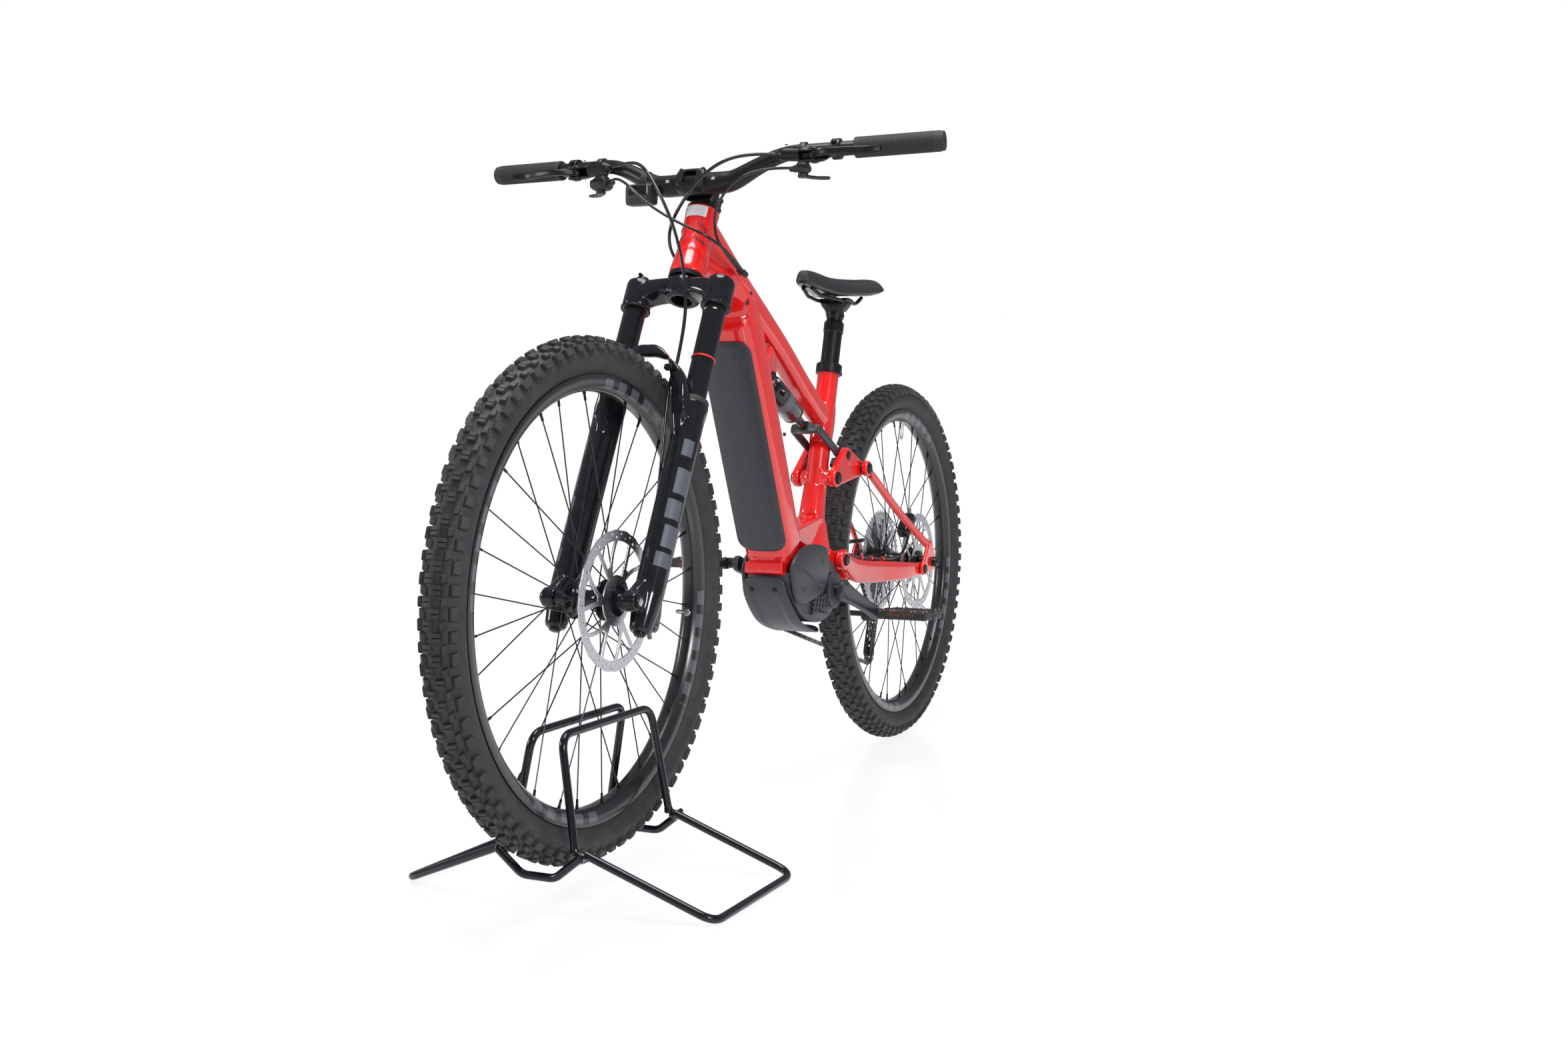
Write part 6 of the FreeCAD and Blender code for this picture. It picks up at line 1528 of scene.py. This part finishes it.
def thumb_controls():
    """Shift pod on the right, dropper pod on the left, and their paddles."""
    pods = bmesh.new()
    for seat, side, wide, depth, drop in ((SHIFT, -1, 34, 20, 38), (DROP, 1, 22, 16, 34)):
        at = V(seat.x, side * seat.y, seat.z)
        run = V(GRIP.x, side * GRIP.y, GRIP.z)
        ring(pods, at, run, -5, 5, 11.2, 14.6, 0.8, 40)
        loft(pods, [(at + V(2, 0, -12), X, Y, 14, 12), (at + V(3, 0, -20), X, Y, 22, wide * 0.8),
                    (at + V(4, 0, -24), X, Y, depth + 11, wide),
                    (at + V(4, 0, -drop + 5), X, Y, depth + 10, wide),
                    (at + V(4, 0, -drop + 0.4), X, Y, depth + 2, wide - 9)], 3.2, 32, 5)
        lathe(pods, at + V(8, -side * wide / 2 + side * 2, -27), V(0, -side, 0),
              [(5.5, 0), (5.5, 4), (4.2, 6), (4.2, 10), (3, 11.4)], 24)
        hex_head(pods, at + V(-6, 0, 13.4), Z, 3.4, 2)
    piece("control_pod_shells", pods, "steering", PLASTIC, ["control_pods"], sharp=45)
    for name, seat, side, reach, back, drop, dx in (("shift_paddle", SHIFT, -1, 30, 26, 38, 6),
                                                    ("dropper_paddle", DROP, 1, 26, 30, 34, 4)):
        pivot = V(seat.x + dx, side * seat.y, seat.z - drop)
        paddle = bmesh.new()
        lathe(paddle, pivot - Z * 6.2, Z, [(8, 0), (8, 5.4), (6, 6)], 32)
        path = [pivot - Z * 3.4, pivot + V(-back * 0.42, side * reach * 0.2, -3.6),
                pivot + V(-back * 0.78, side * reach * 0.5, -3.4),
                pivot + V(-back, side * reach * 0.84, -3.2),
                pivot + V(-back * 1.08, side * (reach + 5), -3.2)]
        rows = []
        for i, p in enumerate(path):
            ahead = (path[min(i + 1, 4)] - path[max(i - 1, 0)]).normalized()
            rows.append((p, V(ahead.y, -ahead.x, 0), Z, (13, 11, 13, 17, 12)[i], (5.6, 5, 4.6, 4.6, 4)[i]))
        loft(paddle, rows, 3, 24, 5)
        piece(name + "_thumb", paddle, name, PLASTIC, [name], sharp=50)


def display_unit():
    """The small display beside the stem."""
    show = bmesh.new()
    at = V(BAR.x + 14, -84, BAR.z - 6)
    loft(show, [(V(at.x + 7, at.y - 21.5, at.z - 9), X, Z, 20, 28),
                (V(at.x + 7, at.y - 19, at.z - 9), X, Z, 25, 33),
                (V(at.x + 7, at.y + 19, at.z - 9), X, Z, 25, 33),
                (V(at.x + 7, at.y + 21.5, at.z - 9), X, Z, 20, 28)], 4.6, 32, 3)
    ring(show, V(BAR.x - 2, -80, BAR.z + 9), Y, -12, 0, 13, 16.6, 1, 40)
    for k in range(3):
        box(show, V(at.x + 19.4, at.y - 12 + 12 * k, at.z - 16), (2, 8, 5), edge=0.8)
    piece("display_case", show, "steering", PLASTIC, ["display"], sharp=40)
    glass = bmesh.new()
    box(glass, V(at.x + 19.2, at.y, at.z - 3), (1.6, 34, 15), edge=0.5)
    piece("display_glass", glass, "steering", PLASTIC_GLOSS)


for build in (handlebar, stem_parts, ribbed_grips, brake_levers, thumb_controls, display_unit):
    build()


# ---------------------------------------------------------------- hoses and cables
HOSE_R, CABLE_R = 0.0026, 0.0022   # metres


def hose(name, points, radius, bodies, replaces=()):
    """A held hose on one smooth curve through the frame's route."""
    curve = bpy.data.curves.new(name, "CURVE")
    curve.dimensions = "3D"
    curve.bevel_depth, curve.bevel_resolution, curve.resolution_u, curve.use_fill_caps = radius, 5, 10, True
    spline = curve.splines.new("NURBS")
    spline.points.add(len(points) - 1)
    for point, p in zip(spline.points, points):
        point.co = (*(LEVEL @ V(*p)), 1)
    spline.order_u = 3
    spline.use_endpoint_u = True
    holder = bpy.data.objects.new(name, curve)
    bpy.context.scene.collection.objects.link(holder)
    graph = bpy.context.evaluated_depsgraph_get()
    mesh = bpy.data.meshes.new_from_object(holder.evaluated_get(graph))
    bpy.data.objects.remove(holder)
    bm = bmesh.new()
    bm.from_mesh(mesh)
    obj = piece(name, bm, None if len(bodies) == 2 else bodies[0], PLASTIC_GLOSS, replaces,
                Matrix.Identity(4), 60)
    if len(bodies) == 2:
        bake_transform(obj)
    return obj


def hoses():
    """Brake hoses and control cables, their clips and grommets."""
    cyl = V(LEVER.x - 2, 146, LEVER.z + 6)
    front = [(cyl.x, -cyl.y, cyl.z), (cyl.x + 14, -104, cyl.z + 4), (cyl.x + 44, -62, cyl.z - 10),
             (cyl.x + 62, -26, cyl.z - 52), (cyl.x + 66, 4, cyl.z - 108), (cyl.x + 72, 24, cyl.z - 166),
             (cyl.x + 84, 38, cyl.z - 224), (cyl.x + 106, 45, cyl.z - 278), (cyl.x + 128, 47, cyl.z - 322)]
    rear = [(cyl.x, cyl.y, cyl.z), (cyl.x + 22, 100, cyl.z + 2), (cyl.x + 44, 52, cyl.z - 22),
            (cyl.x + 42, 10, cyl.z - 64), (cyl.x + 24, -26, cyl.z - 104), (cyl.x - 14, -46, cyl.z - 134),
            (cyl.x - 62, -50, cyl.z - 156), (cyl.x - 108, -46, cyl.z - 178)]
    drop = [(DROP.x + 8, DROP.y - 11, DROP.z - 26), (DROP.x + 30, 134, DROP.z - 26),
            (DROP.x + 58, 92, DROP.z - 44), (DROP.x + 56, 56, DROP.z - 84), (DROP.x + 30, 42, DROP.z - 124),
            (DROP.x - 10, 44, DROP.z - 152), (DROP.x - 56, 46, DROP.z - 172)]
    shift = [(SHIFT.x + 10, 17 - SHIFT.y, SHIFT.z - 28), (SHIFT.x + 42, -132, SHIFT.z - 26),
             (SHIFT.x + 68, -94, SHIFT.z - 42), (SHIFT.x + 74, -56, SHIFT.z - 76),
             (SHIFT.x + 66, -8, SHIFT.z - 106), (SHIFT.x + 46, 40, SHIFT.z - 128),
             (SHIFT.x + 2, 57, SHIFT.z - 152), (SHIFT.x - 50, 57, SHIFT.z - 176)]
    # each brake hose runs on from its last guide to its caliper
    leg_side = [fork(46.8, 47, -175.6), fork(51, 44.6, -205), fork(44, 44.4, -250), fork(26, 44.4, -310),
                fork(10, 44.4, -370), fork(-4, 44.6, -430), fork(-18, 46.5, -478), fork(-34, 49, -506)]
    hose("hose_to_front_caliper", leg_side, HOSE_R, ("fork_lowers",))
    stay_side = [V(-232, 40, 404), V(-262, 43, 399), V(-300, 46, 393), V(-345, 48.5, 390),
                 V(-400, 51.5, 387), V(-450, 54, 385), V(-495, 56, 390), V(-526, 56, 410), V(-546, 54, 434)]
    hose("hose_to_rear_caliper", stay_side, HOSE_R, ("chainstay", "seatstay"))
    clips = bmesh.new()
    for k, heading in ((2, stay_side[3] - stay_side[1]), (3, stay_side[4] - stay_side[2]),
                       (4, stay_side[5] - stay_side[3])):
        ring(clips, stay_side[k], heading.normalized(), -3.2, 3.2, 2.7, 4.4, 0.5, 24)
    piece("hose_clips", clips, "chainstay", ORANGE_RED)
    hose("hose_front_brake", front, HOSE_R, ("steering", "fork_lowers"),
         ["hoses_and_cables"])
    hose("hose_rear_brake", rear, HOSE_R, ("steering", "frame"))
    hose("cable_dropper", drop, CABLE_R, ("steering", "frame"))
    hose("cable_shift", shift, CABLE_R, ("steering", "frame"))
    grommets = bmesh.new()
    for a, b, r in ((rear[6], rear[7], 4.6), (drop[5], drop[6], 4.2), (shift[6], shift[7], 4.2)):
        along = (V(*b) - V(*a)).normalized()
        lathe(grommets, V(*b) - along * 9, along, [(2.9, 0), (r, 2), (r + 0.6, 12)], 20)
    piece("cable_port_grommets", grommets, "frame", RUBBER)


hoses()


# ---------------------------------------------------------------- seat post and saddle
CLAMP = SEAT + POST_UP * 116
RAIL_Z = CLAMP.z + 12
RAIL_OUT = 22.0
NOSE = -106.0
TAIL = NOSE - 256.0


def edge_drop(u, dx, h):
    """How far the saddle's top falls at a share of its half width."""
    return h * 0.74 * abs(u) ** (3.4 + 1.2 * max(0, (dx + 60) / -200))


def dropper_post():
    """Outer tube, collar and the sliding post with its head."""
    outer = bmesh.new()
    lathe(outer, SEAT, POST_UP, [(15.1, -250), (17.4, -250), (17.4, 70), (18.3, 70.6), (18.5, 72),
                                 (18.5, 83), (17.8, 84), (15.1, 84)], 56, closed=True)
    piece("dropper_outer_tube", outer, "frame", BLACK_METAL, ["dropper_outer"])
    collar = bmesh.new()
    ring(collar, SEAT, POST_UP, 66, 86, 15.2, 19.0, 1.0)
    ring(collar, SEAT, POST_UP, 86, 88, 15.2, 17.6, 0.6)
    piece("dropper_collar", collar, "frame", GLOSS)
    inner, cut = bmesh.new(), bmesh.new()
    lathe(inner, SEAT, POST_UP, [(15, -150), (15, 96), (17, 97), (17, 106), (16, 108)], 48)
    loft(inner, [(SEAT + POST_UP * 104, Y, POST_BACK, 33, 33), (SEAT + POST_UP * 110, Y, X, 36, 36),
                 (CLAMP + V(0, 0, 4), Y, X, 52, 42), (CLAMP + V(0, 0, 10), Y, X, 56, 42)], 3.4, 32, 4)
    for side in SIDES:
        rod(cut, V(CLAMP.x - 60, side * RAIL_OUT, RAIL_Z), V(CLAMP.x + 60, side * RAIL_OUT, RAIL_Z), 3.6)
    piece("dropper_post_head", melt(inner, 1.4, 3, cut), "seatpost", BLACK_METAL,
          ["dropper_inner"], sharp=50)


def saddle_frame():
    """Rail clamps and the two bent rails."""
    clamps = bmesh.new()
    for side in SIDES:
        loft(clamps, [(V(CLAMP.x - 20, side * RAIL_OUT, RAIL_Z + 2), Y, Z, 12, 7),
                      (V(CLAMP.x, side * RAIL_OUT, RAIL_Z + 3.4), Y, Z, 13, 8),
                      (V(CLAMP.x + 20, side * RAIL_OUT, RAIL_Z + 2), Y, Z, 12, 7)], 3, 20, 4)
        rod(clamps, V(CLAMP.x + side * 17, 0, RAIL_Z - 16), V(CLAMP.x + side * 17, 0, RAIL_Z + 3), 3)
    box(clamps, V(CLAMP.x, 0, RAIL_Z + 1), (40, 34, 6), edge=2)
    piece("saddle_clamps", clamps, "seatpost", BLACK_METAL)
    rails = bmesh.new()
    for side in SIDES:
        points = [V(NOSE - 28, side * 9, RAIL_Z + 12), V(NOSE - 60, side * 13, RAIL_Z + 1),
                  V(CLAMP.x + 46, side * RAIL_OUT, RAIL_Z), V(CLAMP.x - 46, side * RAIL_OUT, RAIL_Z),
                  V(TAIL + 30, side * 27, RAIL_Z + 14)]
        tube(rails, wire_line(points, 30), 3.5, 18, 1)
    piece("saddle_rails_bent", rails, "seatpost", BLACK_METAL, ["saddle_rails"])


def saddle():
    """Padded cover lofted over stations, its shell and two seams."""
    top = RAIL_Z + 43
    # place behind the nose, width, height and lift
    stations = [(0, 7, 8, -11), (-4, 25, 20, -2), (-14, 32, 26, 0.6), (-34, 38, 31, 1.4),
                (-62, 44, 33, 0.6), (-100, 56, 34, -1.4), (-134, 78, 34, -1.0), (-166, 105, 33, 1.2),
                (-198, 131, 33, 4.0), (-226, 141, 31, 7.0), (-244, 134, 26, 9.6), (-252, 112, 20, 9.4),
                (-256, 70, 9, 5.0)]
    cover, shell = bmesh.new(), bmesh.new()
    rings, low_rings = [], []
    for dx, w, h, lift in smooth_rows(stations, 5):
        x, high = NOSE + dx, top + lift
        groove = 3.4 * max(0.0, 1 - abs((dx + 150) / 90) ** 2.4)
        row = []
        for k in range(33):
            u = -1 + 2 * k / 32
            drop_edge = edge_drop(u, dx, h)
            dip = groove * exp(-(u * w / 2 / 8.5) ** 2)
            row.append(V(x, u * w / 2 * (1 - 0.03 * abs(u) ** 6), high - 1 - drop_edge - dip))
        edge = high - 1 - h * 0.74
        row += [V(x, u * w / 2, edge - 2.6) for u in (0.985, 0.9, 0.6, 0, -0.6, -0.9, -0.985)]
        rings.append(row)
        low_rings.append([V(x, u * w / 2, edge - d) for u,
                          d in ((0.97, 1.8), (0.9, 6.0), (0.7, 8.4), (0, 6.6), (-0.7, 8.4), (-0.9, 6.0),
                                (-0.97, 1.8), (-0.8, 1.6), (0, 1.2), (0.8, 1.6))])
    skin(cover, rings)
    skin(shell, low_rings[2:-2])
    pad = piece("saddle_cover", cover, "seatpost", SADDLE_SKIN, ["saddle"], sharp=70)
    piece("saddle_shell", shell, "seatpost", PLASTIC_GLOSS, sharp=50)
    seams = bmesh.new()
    for side in SIDES:
        line = []
        for dx, w, h, lift in stations[2:-2]:
            line.append(V(NOSE + dx, side * 0.66 * w / 2, top + lift - 1.25 - edge_drop(0.66, dx, h)))
        tube(seams, line, 0.7, 8, 5)
    piece("saddle_seams", seams, "seatpost", PLASTIC_GLOSS)


dropper_post()
saddle_frame()
saddle()

# ---------------------------------------------------------------- studio
def studio():
    """Camera, white room, floor and three soft lamps."""
    scene = bpy.context.scene
    scene.view_settings.view_transform = "Standard"
    scene.view_settings.look = "None"
    eye = Vector((2.5327, 1.1768, 0.648))
    turn, dip = 0.4282, 0.0585      # heading and pitch of the view
    look = Vector((-cos(turn) * cos(dip), -sin(turn) * cos(dip), -sin(dip)))
    camera = bpy.data.objects.new("camera", bpy.data.cameras.new("camera"))
    camera.data.sensor_width, camera.data.lens = 36.0, 36.0 * 2385.75 / 2352
    camera.data.clip_end = 60
    camera.location = eye
    camera.rotation_euler = look.to_track_quat("-Z", "Y").to_euler()
    scene.collection.objects.link(camera)
    scene.camera = camera

    world = bpy.data.worlds.new("studio")
    world.use_nodes = True
    tree = world.node_tree
    room = tree.nodes["Background"]
    room.inputs["Color"].default_value = (0.92, 0.95, 1.0, 1)
    room.inputs["Strength"].default_value = 0.3
    backdrop = tree.nodes.new("ShaderNodeBackground")
    backdrop.inputs["Color"].default_value = (1, 1, 1, 1)
    ray, mix = tree.nodes.new("ShaderNodeLightPath"), tree.nodes.new("ShaderNodeMixShader")
    tree.links.new(ray.outputs["Is Camera Ray"], mix.inputs[0])
    tree.links.new(room.outputs[0], mix.inputs[1])
    tree.links.new(backdrop.outputs[0], mix.inputs[2])
    tree.links.new(mix.outputs[0], tree.nodes["World Output"].inputs["Surface"])
    scene.world = world

    floor_mesh = bpy.data.meshes.new("floor")
    floor_mesh.from_pydata([(-9, -9, 0), (9, -9, 0), (9, 9, 0), (-9, 9, 0)], [], [(0, 1, 2, 3)])
    floor = bpy.data.objects.new("floor", floor_mesh)
    floor_mesh.materials.append(surface("floor_white", (0.12, 0.12, 0.13), (0.14, 0.14, 0.15), 0.2, 0.03, 3,
                                        Emission_Color=(0.985, 0.988, 1, 1), Emission_Strength=0.86))
    scene.collection.objects.link(floor)

    def lamp(name, at, aim, size, power, colour=(1, 1, 1)):
        data = bpy.data.lights.new(name, "AREA")
        data.shape, data.size, data.energy, data.color = "DISK", size, power, colour
        obj = bpy.data.objects.new(name, data)
        obj.location = at
        obj.rotation_euler = (Vector(aim) - Vector(at)).to_track_quat("-Z", "Y").to_euler()
        scene.collection.objects.link(obj)

    lamp("overhead", (0.6, 0.2, 3.4), (0, 0, 0.5), 2.0, 105)
    lamp("left_front", (2.4, 3.2, 1.9), (0, 0, 0.6), 0.9, 62)
    lamp("right_front", (2.2, -3.0, 1.6), (0.2, 0, 0.6), 0.9, 36)


studio()
